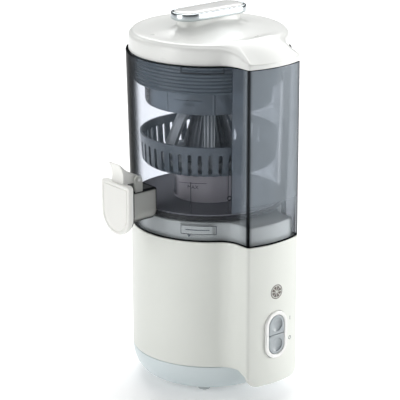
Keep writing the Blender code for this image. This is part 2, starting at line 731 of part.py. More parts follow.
def spout_duct(axis):
    def channel(half, low, high):
        return [(half, high), (-half, high)] + arc(0, low + half, half, 180, 360, 12)

    wall = 2.0
    outside = channel(SPOUT_HALF, SPOUT_LOW, SPOUT_HIGH)
    inside = channel(SPOUT_HALF - wall, SPOUT_LOW + wall, SPOUT_HIGH - wall)
    root_x = -76.0
    duct = plate_mesh("spout_duct", [outside, inside], root_x - SPOUT_MOUTH)
    middle = (SPOUT_MOUTH + root_x) / 2
    turn = (90, 0, 90)
    ears = []
    for side in (-1, 1):
        ears.append((box("ear", (3, 17, 9), (side * 12.2, 224.8, PIVOT_X)), (0, 0, 0), 0))
    boolean(duct, as_cutter(several("ears", ears), axis, rotation=turn), "UNION")
    boolean(duct, as_cutter(rod("pin_hole", 1.8, -30, 30, 16), axis, (PIVOT_X, 0, PIVOT_Z), (90, 0, 0)))
    fit = [(container_radius(z) + GAP, z) for z in (250, 160)]
    body = turned("body_clearance", [(0, 250)] + fit + [(0, 160)], 128, closed=False)
    boolean(duct, as_cutter(body, axis))
    place(duct, material("spout_smoke", SMOKE, 0.1, alpha=0.45), axis, (middle, 0, 0), turn)
    pin = rod("flap_pin", 1.5, -14.5, 14.5, 16)
    place(pin, material("shaft_steel", STEEL, 0.25, 1.0), axis, (PIVOT_X, 0, PIVOT_Z), (90, 0, 0))


# --- Flap -----------------------------------------------------------------------------------
def flap(axis):
    """The plate hangs outside the spout's mouth; a neck carries the thumb tab and the barrel."""
    back = (-PIVOT_X, 0, -PIVOT_Z)
    middle_z = FLAP_LOW + FLAP_HALF
    face = [(FLAP_HALF, FLAP_HIGH), (-FLAP_HALF, FLAP_HIGH)]
    face += arc(0, middle_z, FLAP_HALF, 180, 360, 16)
    thickness = 5.8
    leaf = plate_mesh("flap_plate", [face], thickness)
    neck_side = [
        (FLAP_FACE, 221), (-113, 221.5), (-109, 225.6), (PIVOT_X, PIVOT_Z - 4), (-96.7, 226.4),
        (-95.5, PIVOT_Z), (-96.7, 231.6), (PIVOT_X, PIVOT_Z + 4), (-104.5, 234.6), (-110, 238.8),
        (TAB_TIP_X + 0.5, 246.5), (TAB_TIP_X, 244.6), (-116.8, 235),
    ]
    neck = plate_mesh("flap_neck", [neck_side], 18)
    boolean(leaf, as_cutter(neck, axis, back, (90, 0, 0)), "UNION")
    boolean(leaf, as_cutter(rod("barrel_hole", 1.85, -30, 30, 16), axis, rotation=(90, 0, 0)))
    middle = FLAP_FACE + thickness / 2
    place(leaf, material("flap_white", WHITE, 0.4), axis, (middle - PIVOT_X, 0, -PIVOT_Z), (90, 0, 90))
    inner = [(FLAP_HALF - 2, SPOUT_HIGH + 2.5), (2 - FLAP_HALF, SPOUT_HIGH + 2.5)]
    inner += arc(0, middle_z, FLAP_HALF - 2, 180, 360, 16)
    pad_thickness = 2.2
    pad = plate("flap_seal", [inner], pad_thickness)
    x = FLAP_FACE + thickness + GAP + pad_thickness / 2
    place(pad, material("seal_rubber", BLACK, 0.7), axis, (x - PIVOT_X, 0, -PIVOT_Z), (90, 0, 90))


# --- Basket and reamer ----------------------------------------------------------------------
def strainer_basket(axis):
    floor = BASKET_Z + BASKET_FLOOR
    profile = [(BASKET_R, BASKET_RIM_Z), (67.2, BASKET_Z + 4), (63.5, BASKET_Z),
               (13.8, BASKET_Z), (13.8, floor), (62.4, floor), (64.6, BASKET_Z + 4.8),
               (66.8, BASKET_RIM_Z)]
    basket = turned("strainer_basket", profile, SLOTS)
    pitch = 360 / SLOTS
    slot_angles = [pitch * i for i in range(SLOTS)]
    slots = around(65.5, slot_angles, lambda: box("slot", (9, 4.0, 27), (0, 0, 238)))
    boolean(basket, as_cutter(several("basket_slots", slots), axis))
    place(basket, material("basket_grey", GREY, 0.35), axis)


def hub_socket(axis):
    seat = BASKET_Z + BASKET_FLOOR + GAP
    profile = [(0, 243), (11, 243), (12, 242), (12, seat + 2.4), (17, seat + 2.4), (17, seat),
               (13.4, seat), (13.4, 226.2), (0, 226.2)]
    hub = turned("hub_socket", profile, 24, closed=False)
    socket = rod("socket", DOG_R + 0.5, 210, 238, 6)
    boolean(hub, as_cutter(socket, axis, rotation=(0, 0, 30)))
    place(hub, material("hub_plastic", DARK_GREY, 0.5), axis)


def reamer_outer(axis):
    """An ogive shell opened by windows, so that wide arms meet at the tip."""
    outside = [(5, 304.6), (12, 299.5), (22, 290), (33, 273), (42, 253), (50, 233.2)]
    inside = [(46.8, 233.2), (38.9, 253.3), (30, 272.3), (19.5, 288.4), (10.5, 296.4), (0, 299.5)]
    shell = turned("reamer_outer", [(0, 305)] + outside + inside, 32, closed=False)
    half_pitch = 180 / REAMER_ARMS
    start = REAMER_ARM / 2 / math.sin(math.radians(half_pitch))
    windows = []
    for arm in range(REAMER_ARMS):
        middle = REAMER_TURN + (2 * arm + 1) * half_pitch
        x, y = on_circle(start, middle)
        left = on_circle(60, middle - half_pitch)
        right = on_circle(60, middle + half_pitch)
        wedge = [(x, y), (x + left[0], y + left[1]), (x + right[0], y + right[1])]
        windows.append((plate_mesh("window", [wedge], 62), (0, 0, 267.5), 0))
    boolean(shell, as_cutter(several("reamer_windows", windows), axis))
    seat = BASKET_Z + BASKET_FLOOR + GAP
    ring = turned("reamer_foot", [(50.6, 236), (50.6, seat), (43.6, seat), (43.6, 236)], 36)
    boolean(shell, as_cutter(ring, axis), "UNION")
    place(shell, material("reamer_grey", GREY, 0.35), axis)


def reamer_inner(axis):
    """A hollow cone with upright ribs."""
    ribs = 12
    steps = 48

    def ring(radius, z, depth):
        turn = [math.tau * i / steps for i in range(steps)]
        reach = [radius + depth * math.cos(ribs * a) for a in turn]
        return [(r * math.cos(a), r * math.sin(a), z) for r, a in zip(reach, turn)]

    seat = BASKET_Z + BASKET_FLOOR + GAP
    rings = [ring(27, seat, 0), ring(26, 234, 1.4), ring(24, 246, 1.6), ring(19, 264, 1.4),
             ring(12.5, 280, 1.0), ring(5, 291.5, 0.4), ring(2.5, 288.5, 0), ring(16, 262, 0),
             ring(21.5, seat, 0)]
    cone = loft("reamer_inner", rings)
    place(cone, material("reamer_grey", GREY, 0.35), axis)


# --- Lid and pusher -------------------------------------------------------------------------
def lid_top(axis):
    outline = keyhole(LID_R)
    front = [min(max((-66 - y) / 36, 0), 1) for x, y in outline]

    def ring(inset, z_round, z_front):
        heights = [z_round + (z_front - z_round) * share for share in front]
        return [(x, y, z) for (x, y), z in zip(keyhole(LID_R, inset), heights)]

    def polar(radius, z):
        return at_height(polar_circle(radius, outline), z)

    def pills(length, width, z):
        return at_height(polar_pill(length, width, outline), z)

    def between(radius, share, z):
        """A section part of the way from a circle to the pill of the handle's neck."""
        round_part = polar_circle(radius, outline)
        pill_part = polar_pill(70, 24, outline)
        return [(a + (c - a) * share, b + (d - b) * share, z)
                for (a, b), (c, d) in zip(round_part, pill_part)]

    low = RIM_Z + GAP
    rings = [
        ring(0, low, low), ring(0, LID_SIDE_Z, LID_FRONT_Z),
        ring(1.8, LID_SIDE_Z + 3.2, LID_FRONT_Z + 1.1),
        polar(73.5, LID_RIM_Z), between(64, 0.1, LID_RIM_Z), between(50, 0.5, 366),
        between(44, 0.85, 370), pills(74, 26, HANDLE_Z - GAP),
        pills(66, 18, HANDLE_Z - GAP), pills(66, 18, 336),
        pills(70, 22, 336), pills(70, 22, 360), polar(72, 359), polar(73.5, RIM_Z + 2.8),
        ring(WALL + 0.6, RIM_Z + 2.8, RIM_Z + 2.8), ring(WALL + 0.6, low, low),
    ]
    place(loft("lid_top", rings), material("lid_cream", CREAM, 0.4), axis)


def lid_skirt(axis):
    """The ribbed band that reaches down inside the container."""
    outer = 75.6
    top = RIM_Z - 1.5
    pitch = 6.4
    ribs = []
    for i in range(4):
        start = top - pitch * i
        ribs += [(outer, start), (outer, start - 0.7 * pitch), (outer - 1, start - 0.8 * pitch)]
    profile = ribs + [(outer, 313.5), (outer - 2.6, 313.5), (outer - 2.6, top)]
    place(turned("lid_skirt", profile), material("skirt_smoke", DARK_SMOKE, 0.15, alpha=0.7), axis)


def feed_collar(axis):
    flange = RIM_Z - 3
    profile = [(72.7, flange + 2), (72.7, flange), (63, flange), (63, 290.5), (61, 290.5),
               (61, flange + 2)]
    place(turned("feed_collar", profile), material("collar_smoke", SMOKE, 0.15, alpha=0.5), axis)


def pusher(axis):
    def ring(length, width, z):
        return at_height(pill(length, width, 12), z)

    stem = loft("pusher_stem", [ring(61, 13, 318), ring(64.4, 16.4, 320), ring(64.4, 16.4, HANDLE_Z),
                                ring(60, 12, HANDLE_Z), ring(60, 12, 322)], looped=False)
    place(stem, material("pusher_cream", CREAM, 0.4), axis)
    trim = loft("pusher_trim", [ring(83.5, 32, HANDLE_Z + GAP), ring(86.5, 35, HANDLE_Z + 2),
                                ring(86.5, 35, TOP_Z - 3), ring(84.9, 33.4, TOP_Z - 1.3),
                                ring(82, 30.5, TOP_Z - 1.2), ring(80.5, 29, TOP_Z - 2),
                                ring(80.5, 29, HANDLE_Z + GAP)])
    place(trim, material("trim_chrome", CHROME, 0.08, 1.0), axis)
    cap = loft("pusher_cap", [ring(79.9, 28.4, HANDLE_Z + GAP), ring(79.9, 28.4, TOP_Z - 1.6),
                              ring(77.5, 26, TOP_Z - 0.4), ring(61, 9.5, TOP_Z)], looped=False)
    place(cap, material("cap_white", WHITE, 0.35), axis)


# --- Assembly -------------------------------------------------------------------------------
def build():
    global parts, cutters, root
    clear_scene()
    parts = new_collection("juicer")
    cutters = new_collection("cutters")
    root = empty("drive_axis", (AXIS_X, AXIS_Y, 0))

    motor_housing()
    base_bowl()
    bottom_cover()
    tower_bottom_cover()
    feet_and_cover_screws()
    cord_gland()
    lock_lug()
    gearbox_plate()
    bearings()
    motor_stator()
    motor_bracket()
    switch_bezel()
    switch_board()
    interlock_switch()
    button("button_upper", 1)
    button("button_lower", -1)

    drive_train(empty("shaft_spin", (0, 0, 0), root))
    motor_rotor(empty("rotor_spin", (0, CENTRE_DISTANCE, 0), root))

    container = empty("container_lift", (0, 0, 0), root)
    container_shell(container)
    juice_bowl(container)
    bowl_seal(container)
    spout_duct(container)
    flap(empty("flap_hinge", (PIVOT_X, 0, PIVOT_Z), container))

    basket = empty("basket_spin", (0, 0, 0), container)
    strainer_basket(basket)
    hub_socket(basket)
    reamer_outer(basket)
    reamer_inner(basket)

    lid = empty("lid_lift", (0, 0, 0), container)
    lid_top(lid)
    lid_skirt(lid)
    feed_collar(lid)
    pusher(empty("pusher_lift", (0, 0, 0), lid))
    bpy.context.view_layer.update()


build()
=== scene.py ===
"""Looks of the centrifugal juicer: fine shells, clear smoked plastic, moulded and metal finishes.

Shapes are laid out in millimetres around the vertical drive axis and placed by AXIS, which comes
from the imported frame. MM turns them into metres.
"""
import json
import math

import bmesh
import bpy
from mathutils import Matrix, Vector


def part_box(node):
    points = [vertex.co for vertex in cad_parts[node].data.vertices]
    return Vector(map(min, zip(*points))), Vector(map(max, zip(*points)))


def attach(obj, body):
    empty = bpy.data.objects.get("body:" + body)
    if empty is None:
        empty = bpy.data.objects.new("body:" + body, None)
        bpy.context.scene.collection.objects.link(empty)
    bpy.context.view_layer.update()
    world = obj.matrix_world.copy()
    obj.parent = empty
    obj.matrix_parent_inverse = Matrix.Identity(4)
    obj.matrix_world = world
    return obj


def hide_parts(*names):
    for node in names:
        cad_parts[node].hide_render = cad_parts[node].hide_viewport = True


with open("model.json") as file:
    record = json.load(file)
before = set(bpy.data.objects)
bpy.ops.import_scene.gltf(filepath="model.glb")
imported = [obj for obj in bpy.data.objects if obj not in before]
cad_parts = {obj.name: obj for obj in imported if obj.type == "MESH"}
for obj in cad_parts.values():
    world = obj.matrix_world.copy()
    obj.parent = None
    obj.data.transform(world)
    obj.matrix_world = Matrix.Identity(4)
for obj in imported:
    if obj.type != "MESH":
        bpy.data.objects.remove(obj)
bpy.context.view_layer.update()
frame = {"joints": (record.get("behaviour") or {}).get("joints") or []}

joints = {joint["name"]: joint for joint in frame["joints"]}

# --- Sizes read from the frame --------------------------------------------------------------
MM = 0.001
AXIS = Vector((joints["basket_spin"]["pos_m"][0], joints["basket_spin"]["pos_m"][1], 0))


def low_high(node):
    """Corners of a CAD node in millimetres from the drive axis."""
    low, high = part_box(node)
    return (low - AXIS) / MM, (high - AXIS) / MM


SHELL_LOW, SHELL_HIGH = low_high("container_shell")
HOUSING_LOW = low_high("motor_housing")[0]
BOWL_LOW, BOWL_HIGH = low_high("base_bowl")
BASKET_LOW, BASKET_HIGH = low_high("strainer_basket")
LID_LOW, LID_HIGH = low_high("lid_top")
SKIRT_LOW, SKIRT_HIGH = low_high("lid_skirt")
COLLAR_LOW, COLLAR_HIGH = low_high("feed_collar")
TRIM_LOW, TRIM_HIGH = low_high("pusher_trim")
CAP_LOW, CAP_HIGH = low_high("pusher_cap")
DUCT_LOW = low_high("spout_duct")[0]
FLAP_LOW = low_high("flap_plate")[0]
JUICE_LOW, JUICE_HIGH = low_high("juice_bowl")
BEZEL_LOW, BEZEL_HIGH = low_high("switch_bezel")
REAMER_LOW = low_high("reamer_outer")[0]
PIVOT = (Vector(joints["flap_hinge"]["pos_m"]) - AXIS) / MM

BASE_R = BOWL_HIGH.x + 0.2
TOP_R = SHELL_HIGH.x
TOWER_FRONT = -HOUSING_LOW.y
LEDGE_Z = SHELL_LOW.z - 0.3
RIM_Z = SHELL_HIGH.z
FLOOR_Z = JUICE_LOW.z
DECK_Z = LEDGE_Z + 19
BAND_TOP = 34.0
APRON_LOW = HOUSING_LOW.z
LID_R = LID_HIGH.x
TOWER_HALF = 33.2
FACE_R = 92.5
CORNER_R = 4.5
FILLET_R = 25.0
BUTTON_Z = (BEZEL_LOW.z + BEZEL_HIGH.z) / 2
WALL = 2.5
TOWER_FROST_Y = -90
HUB_TOP = 211.5
HUB_BORE = 9.3
SPOUT_TOP = 217.5

CREAM = (0.76, 0.78, 0.73)
BLUE_GREY = (0.66, 0.73, 0.745)


# --- Camera, light and floor ----------------------------------------------------------------
def look_at(obj, target):
    obj.rotation_euler = (Vector(target) - obj.location).to_track_quat("-Z", "Y").to_euler()


def camera():
    azimuth = math.radians(-39.8)
    elevation = math.radians(18.15)
    target = AXIS + Vector((0, 0, 0.181))
    towards = Vector((math.sin(azimuth) * math.cos(elevation), -math.cos(azimuth) * math.cos(elevation),
                      math.sin(elevation)))
    data = bpy.data.cameras.new("camera")
    data.lens = 171.3
    data.shift_x = -0.0219
    data.shift_y = 0.0077
    data.clip_end = 50
    eye = bpy.data.objects.new("camera", data)
    eye.location = target + 1.93 * towards
    look_at(eye, target)
    bpy.context.scene.collection.objects.link(eye)
    bpy.context.scene.camera = eye


def area_light(name, place, size, power, target=(0, 0, 0.2)):
    data = bpy.data.lights.new(name, "AREA")
    data.shape = "RECTANGLE"
    data.size, data.size_y = size
    data.energy = power
    lamp = bpy.data.objects.new(name, data)
    lamp.location = AXIS + Vector(place)
    look_at(lamp, AXIS + Vector(target))
    bpy.context.scene.collection.objects.link(lamp)


def studio():
    world = bpy.data.worlds.new("studio")
    world.use_nodes = True
    tree = world.node_tree
    place = tree.nodes.new("ShaderNodeTexCoord")
    split = tree.nodes.new("ShaderNodeSeparateXYZ")
    ramp = tree.nodes.new("ShaderNodeValToRGB")
    tree.links.new(place.outputs["Generated"], split.inputs["Vector"])
    tree.links.new(split.outputs["Z"], ramp.inputs["Fac"])
    ramp.color_ramp.elements[0].position = 0.0
    ramp.color_ramp.elements[0].color = (0.26, 0.27, 0.285, 1)
    ramp.color_ramp.elements[1].position = 0.8
    ramp.color_ramp.elements[1].color = (0.50, 0.51, 0.53, 1)
    tree.links.new(ramp.outputs["Color"], tree.nodes["Background"].inputs["Color"])
    tree.nodes["Background"].inputs["Strength"].default_value = 0.27
    bpy.context.scene.world = world
    bpy.context.scene.view_settings.view_transform = "Standard"
    bpy.context.scene.cycles.transparent_max_bounces = 48
    area_light("top_box", (0.0, 0.1, 1.9), (1.2, 1.2), 9)
    area_light("left_box", (-1.55, 0.2, 0.55), (0.9, 1.5), 12.5)
    area_light("right_box", (1.3, -1.15, 0.6), (0.6, 1.5), 25)
    area_light("far_box", (1.7, 2.1, 2.2), (3.2, 3.2), 105, target=(1.7, 2.11, 0))
    floor = bpy.data.meshes.new("floor")
    floor.from_pydata([(-9, -9, 0), (9, -9, 0), (9, 9, 0), (-9, 9, 0)], [], [(0, 1, 2, 3)])
    ground = bpy.data.objects.new("floor", floor)
    ground.location.z = -0.0002
    bpy.context.scene.collection.objects.link(ground)
    paint = new_material("floor_white")
    set_socket(paint, "Base Color", (0.95, 0.95, 0.95, 1))
    set_socket(paint, "Roughness", 0.7)
    set_socket(paint, "Emission Color", (1, 1, 1, 1))
    set_socket(paint, "Emission Strength", 0.2)
    floor.materials.append(paint)


# --- Material helpers -----------------------------------------------------------------------
def new_material(name):
    mat = bpy.data.materials.new(name)
    mat.use_nodes = True
    return mat


def set_socket(mat, socket, value):
    mat.node_tree.nodes["Principled BSDF"].inputs[socket].default_value = value


def add(mat, kind, **values):
    """A node with its settings; a value named in_NAME goes to that input socket."""
    node = mat.node_tree.nodes.new(kind)
    for key, value in values.items():
        if key.startswith("in_"):
            node.inputs[key[3:].replace("_", " ")].default_value = value
        else:
            setattr(node, key, value)
    return node


def link(mat, source, target):
    mat.node_tree.links.new(source, target)


def noise(mat, scale, detail=3.0, stretch=(1, 1, 1)):
    """Noise in the object's own metres; scale is roughly the number of features in a metre."""
    place = add(mat, "ShaderNodeTexCoord")
    mapping = add(mat, "ShaderNodeMapping", in_Scale=stretch)
    texture = add(mat, "ShaderNodeTexNoise", in_Scale=scale, in_Detail=detail)
    link(mat, place.outputs["Object"], mapping.inputs["Vector"])
    link(mat, mapping.outputs["Vector"], texture.inputs["Vector"])
    return texture.outputs["Fac"]


def ranged(mat, value, low, high):
    """Maps 0..1 to low..high."""
    node = add(mat, "ShaderNodeMapRange", in_To_Min=low, in_To_Max=high)
    link(mat, value, node.inputs["Value"])
    return node.outputs["Result"]


def bump(mat, height, distance):
    node = add(mat, "ShaderNodeBump", in_Distance=distance)
    link(mat, height, node.inputs["Height"])
    return node.outputs["Normal"]


def mixed(mat, share, low, high):
    """A colour between two others."""
    node = add(mat, "ShaderNodeMix", data_type="RGBA")
    for socket, colour in (("A", low), ("B", high)):
        if isinstance(colour, tuple):
            node.inputs[socket].default_value = (*colour, 1)
        else:
            link(mat, colour, node.inputs[socket])
    link(mat, share, node.inputs["Factor"])
    return node.outputs["Result"]


def marked(mat, attribute, weight, value):
    """A value raised where the mesh carries an attribute."""
    mark = add(mat, "ShaderNodeAttribute", attribute_name=attribute)
    node = add(mat, "ShaderNodeMath", operation="MULTIPLY_ADD", use_clamp=True)
    link(mat, mark.outputs["Fac"], node.inputs[0])
    node.inputs[1].default_value = weight
    link(mat, value, node.inputs[2])
    return node.outputs["Value"]


def tinted(colour, amount):
    return tuple(min(c * amount, 1) for c in colour)


def moulded(name, colour, roughness, spread=0.06, shade=0.03, grain=1400, depth=0.00002, coat=0.0):
    """Injection-moulded plastic: faint tone drift, uneven gloss and a fine grain."""
    mat = new_material(name)
    shader = mat.node_tree.nodes["Principled BSDF"]
    drift = mixed(mat, noise(mat, 14), tinted(colour, 1 - shade), tinted(colour, 1 + shade))
    gloss = ranged(mat, noise(mat, 60), roughness - spread, roughness + spread)
    link(mat, drift, shader.inputs["Base Color"])
    link(mat, gloss, shader.inputs["Roughness"])
    link(mat, bump(mat, noise(mat, grain, 2.0), depth), shader.inputs["Normal"])
    shader.inputs["Coat Weight"].default_value = coat
    shader.inputs["Coat Roughness"].default_value = 0.12
    return mat


def metal(name, colour, roughness, brushed=(1, 1, 1), depth=0.00001, scale=900):
    """Bare or plated metal with machining lines along the axis that brushed squeezes least."""
    mat = new_material(name)
    shader = mat.node_tree.nodes["Principled BSDF"]
    shader.inputs["Metallic"].default_value = 1.0
    lines = noise(mat, scale, 2.0, brushed)
    link(mat, mixed(mat, lines, tinted(colour, 0.92), colour), shader.inputs["Base Color"])
    link(mat, ranged(mat, lines, roughness * 0.8, roughness * 1.2), shader.inputs["Roughness"])
    link(mat, bump(mat, lines, depth), shader.inputs["Normal"])
    return mat


def clear(name, tint, edge_shade, haze, haze_colour, roughness=0.05, corner=0.0, frost=0.0, gloss=0.3):
    """Clear smoked plastic: it tints what is behind it, and darkens and mirrors more at grazing edges.

    corner weighs the mesh attribute that paints shade on moulded edges and rims, in place of the dark
    lines that refraction draws there, and frost the one that fogs a wall.
    """
    mat = new_material(name)
    shader = mat.node_tree.nodes["Principled BSDF"]
    output = mat.node_tree.nodes["Material Output"]
    facing = add(mat, "ShaderNodeLayerWeight", in_Blend=0.5).outputs["Facing"]
    steep = add(mat, "ShaderNodeMath", operation="POWER")
    link(mat, facing, steep.inputs[0])
    steep.inputs[1].default_value = 4.0
    mirror = ranged(mat, steep.outputs["Value"], 0.045 + haze, 0.5)
    edge = add(mat, "ShaderNodeMapRange", interpolation_type="SMOOTHSTEP", in_From_Min=0.48,
               in_From_Max=0.80)
    link(mat, facing, edge.inputs["Value"])
    share = edge.outputs["Result"]
    # Painted shade: the corner attribute pulls the tint and the haze towards the near-black edge
    # colour.
    if corner:
        share = marked(mat, "corner", corner, share)
    if frost:
        mirror = marked(mat, "frost", frost, mirror)
    film = add(mat, "ShaderNodeBsdfTransparent")
    link(mat, mixed(mat, share, tint, edge_shade), film.inputs["Color"])
    wave = noise(mat, 30)
    fog = mixed(mat, wave, haze_colour, tinted(haze_colour, 1.15))
    link(mat, mixed(mat, share, fog, edge_shade), shader.inputs["Base Color"])
    shader.inputs["Specular IOR Level"].default_value = gloss
    link(mat, ranged(mat, wave, roughness * 0.8, roughness * 1.2), shader.inputs["Roughness"])
    link(mat, bump(mat, noise(mat, 90, 1.0), 0.00004), shader.inputs["Normal"])
    mix = add(mat, "ShaderNodeMixShader")
    link(mat, mirror, mix.inputs["Fac"])
    link(mat, film.outputs["BSDF"], mix.inputs[1])
    link(mat, shader.outputs["BSDF"], mix.inputs[2])
    link(mat, mix.outputs["Shader"], output.inputs["Surface"])
    return mat


# --- Mesh helpers ---------------------------------------------------------------------------
def finished(name, bm, mat, body, replaces=(), sharp=40, weighted=True):
    """Closes a mesh off as a piece of the juicer, standing around the drive axis."""
    bmesh.ops.remove_doubles(bm, verts=bm.verts, dist=0.0000005)
    bmesh.ops.recalc_face_normals(bm, faces=bm.faces)
    mesh = bpy.data.meshes.new(name)
    bm.to_mesh(mesh)
    bm.free()
    obj = bpy.data.objects.new(name, mesh)
    bpy.context.scene.collection.objects.link(obj)
    mesh.materials.append(mat)
    mesh.shade_smooth()
    mesh.set_sharp_from_angle(angle=math.radians(sharp))
    if weighted:
        modifier = obj.modifiers.new("Weighted", "WEIGHTED_NORMAL")
        modifier.keep_sharp = True
    obj.location = AXIS
    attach(obj, body)
    if replaces:
        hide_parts(*replaces)
    return obj


def loft(rings, looped=True, into=None, corner=None, painted_shade_rings=()):
    """A skin through rings of equal length, in millimetres.

    corner (point by point) and the rings given by number mark painted shade on the edges and rims of
    clear plastic; frost marks the tower's face above the deck.
    """
    bm = into or bmesh.new()
    layer = bm.verts.layers.float.get("corner") or bm.verts.layers.float.new("corner")
    frost = bm.verts.layers.float.get("frost") or bm.verts.layers.float.new("frost")
    rows = []
    for number, ring in enumerate(rings):
        row = []
        for i, point in enumerate(ring):
            vert = bm.verts.new(Vector(point) * MM)
            # The weight of painted edge shade for this point.
            vert[layer] = 1.0 if number in painted_shade_rings else corner[i] if corner else 0.0
            vert[frost] = 1.0 if point[1] < TOWER_FROST_Y and point[2] > DECK_Z + 6 else 0.0
            row.append(vert)
        rows.append(row)
    count = len(rings[0])
    pairs = list(zip(rows, rows[1:]))
    if looped:
        pairs.append((rows[-1], rows[0]))
    for lower, upper in pairs:
        for i in range(count):
            j = (i + 1) % count
            bm.faces.new((lower[i], lower[j], upper[j], upper[i]))
    if not looped:
        bm.faces.new(list(reversed(rows[0])))
        bm.faces.new(rows[-1])
    return bm


def rounded(points, steps=4):
    """A profile of (a, b, radius) with its corners rounded off by short curves."""
    result = []
    count = len(points)
    for i, (a, b, radius) in enumerate(points):
        here = Vector((a, b))
        if radius <= 0:
            result.append((a, b))
            continue
        before = Vector(points[i - 1][:2])
        after = Vector(points[(i + 1) % count][:2])
        back = (before - here).normalized() * min(radius, (before - here).length * 0.49)
        ahead = (after - here).normalized() * min(radius, (after - here).length * 0.49)
        for step in range(steps + 1):
            t = step / steps
            point = here + back * (1 - t) ** 2 + ahead * t ** 2
            result.append((point.x, point.y))
    return result


def lathe(profile, steps=144, shape=None):
    """Turns a closed profile of (radius, height). shape(r, z, angle) may change a point's radius."""
    rings = []
    for radius, z in profile:
        ring = []
        for i in range(steps):
            angle = math.tau * i / steps
            r = shape(radius, z, angle) if shape else radius
            ring.append((r * math.cos(angle), r * math.sin(angle), z))
        rings.append(ring)
    bm = loft(rings)
    bmesh.ops.remove_doubles(bm, verts=bm.verts, dist=0.0000005)
    return bm


def apply_cut(obj, cutter_bm):
    """Cuts with a mesh laid out in the object's own space, and applies the cut."""
    mesh = bpy.data.meshes.new("tool")
    bmesh.ops.recalc_face_normals(cutter_bm, faces=cutter_bm.faces)
    cutter_bm.to_mesh(mesh)
    cutter_bm.free()
    tool = bpy.data.objects.new("tool", mesh)
    tool.matrix_world = obj.matrix_world
    bpy.context.scene.collection.objects.link(tool)
    obj.modifiers.clear()
    modifier = obj.modifiers.new("cut", "BOOLEAN")
    modifier.operation = "DIFFERENCE"
    modifier.object = tool
    modifier.solver = "EXACT"
    bpy.context.view_layer.update()
    graph = bpy.context.evaluated_depsgraph_get()
    result = bpy.data.meshes.new_from_object(obj.evaluated_get(graph))
    obj.modifiers.clear()
    obj.data = result
    bpy.data.objects.remove(tool)
    obj.modifiers.new("Weighted", "WEIGHTED_NORMAL").keep_sharp = True


def arc(x, y, radius, start, end, steps):
    turn = [math.radians(start + (end - start) * i / steps) for i in range(steps + 1)]
    return [(x + radius * math.cos(a), y + radius * math.sin(a)) for a in turn]


def direction(x, y):
    return math.degrees(math.atan2(y, x)) % 360


FILLET_STEPS = 18
CORNER_STEPS = 10
FACE_STEPS = 16
ROUND_STEPS = 72


def keyhole(radius, inset=0.0):
    """Plan of the body: a circle blended into the front tower, from the back round by -x."""
    fillet_x = TOWER_HALF + FILLET_R
    fillet_y = -math.sqrt((radius + FILLET_R) ** 2 - fillet_x ** 2)
    meeting = direction(-fillet_x, fillet_y)
    corner = max(CORNER_R - inset, 0.5)
    face = FACE_R - inset
    face_y = FACE_R - TOWER_FRONT
    corner_x = TOWER_HALF - inset - corner
    corner_y = face_y - math.sqrt((face - corner) ** 2 - corner_x ** 2)
    turn = direction(-corner_x, corner_y - face_y)
    half = arc(0, 0, radius - inset, 90, meeting, ROUND_STEPS)
    half += arc(-fillet_x, fillet_y, FILLET_R + inset, meeting - 180, 0, FILLET_STEPS)[1:]
    half += arc(-corner_x, corner_y, corner, 180, turn, CORNER_STEPS)
    half += arc(0, face_y, face, turn, 270, FACE_STEPS)[1:]
    return half + [(-x, y) for x, y in reversed(half[1:-1])]


def tower_edge_shade():
    """Painted shade weights: 1 on the vertical edges of the tower's face and 0 elsewhere, point by
    point.
    """
    start = ROUND_STEPS + 1 + FILLET_STEPS
    half = [0.0] * start
    half += [math.sin(math.pi * (i + 0.5) / (CORNER_STEPS + 1)) for i in range(CORNER_STEPS + 1)]
    half += [0.0] * FACE_STEPS
    return half + list(reversed(half[1:-1]))


def polar_circle(radius, outline):
    angles = [math.atan2(y, x) for x, y in outline]
    return [(radius * math.cos(a), radius * math.sin(a)) for a in angles]


def polar_pill(length, width, outline):
    """A pill along x, seen from its middle in the direction of each point of an outline."""
    end = width / 2
    straight = length / 2 - end
    points = []
    for x, y in outline:
        a = math.atan2(y, x)
        if abs(math.sin(a)) * straight > end * abs(math.cos(a)):
            reach = end / abs(math.sin(a))
        else:
            side = straight * math.sin(a)
            reach = straight * abs(math.cos(a)) + math.sqrt(end ** 2 - side ** 2)
        points.append((reach * math.cos(a), reach * math.sin(a)))
    return points


def pill(length, width, steps=32):
    end = width / 2
    straight = length / 2 - end
    return arc(straight, 0, end, -90, 90, steps) + arc(-straight, 0, end, 90, 270, steps)


def at_height(outline, z):
    return [(x, y, z) for x, y in outline]


def container_radius(z):
    return BASE_R + (TOP_R - BASE_R) * (z - LEDGE_Z) / (RIM_Z - LEDGE_Z)


def apron_edge(x, y):
    """Height of the housing's lower edge: level round the body, low and rounded on the tower."""
    back, flat, rise = -84.0, 22.0, 11.0
    if y > back:
        return BAND_TOP
    reach = min(max(abs(x) - flat, 0) / (TOWER_HALF - flat), 1)
    lowest = APRON_LOW + rise * (1 - math.sqrt(1 - reach ** 2))
    behind = min(max((y + 95.2) / (back + 95.2), 0), 1)
    ease = behind * behind * (3 - 2 * behind)
    return lowest + (BAND_TOP - lowest) * ease


def smooth_rings(rings, steps=6):
    """More rings on a smooth curve through the given ones, point by point."""
    result = []
    last = len(rings) - 1
    for i in range(last):
        before, here, there, after = [rings[min(max(i + k, 0), last)] for k in (-1, 0, 1, 2)]
        for step in range(steps):
            t = step / steps
            ring = []
            for points in zip(before, here, there, after):
                ring.append(tuple(0.5 * (2 * b + (c - a) * t + (2 * a - 5 * b + 4 * c - d) * t * t
                                         + (3 * b - a - 3 * c + d) * t ** 3)
                                  for a, b, c, d in zip(*points)))
            result.append(ring)
    return result + [rings[-1]]


def smooth_profile(points, steps):
    """The same for a profile of pairs."""
    return [ring[0][:2] for ring in smooth_rings([[p + (0,)] for p in points], steps)]


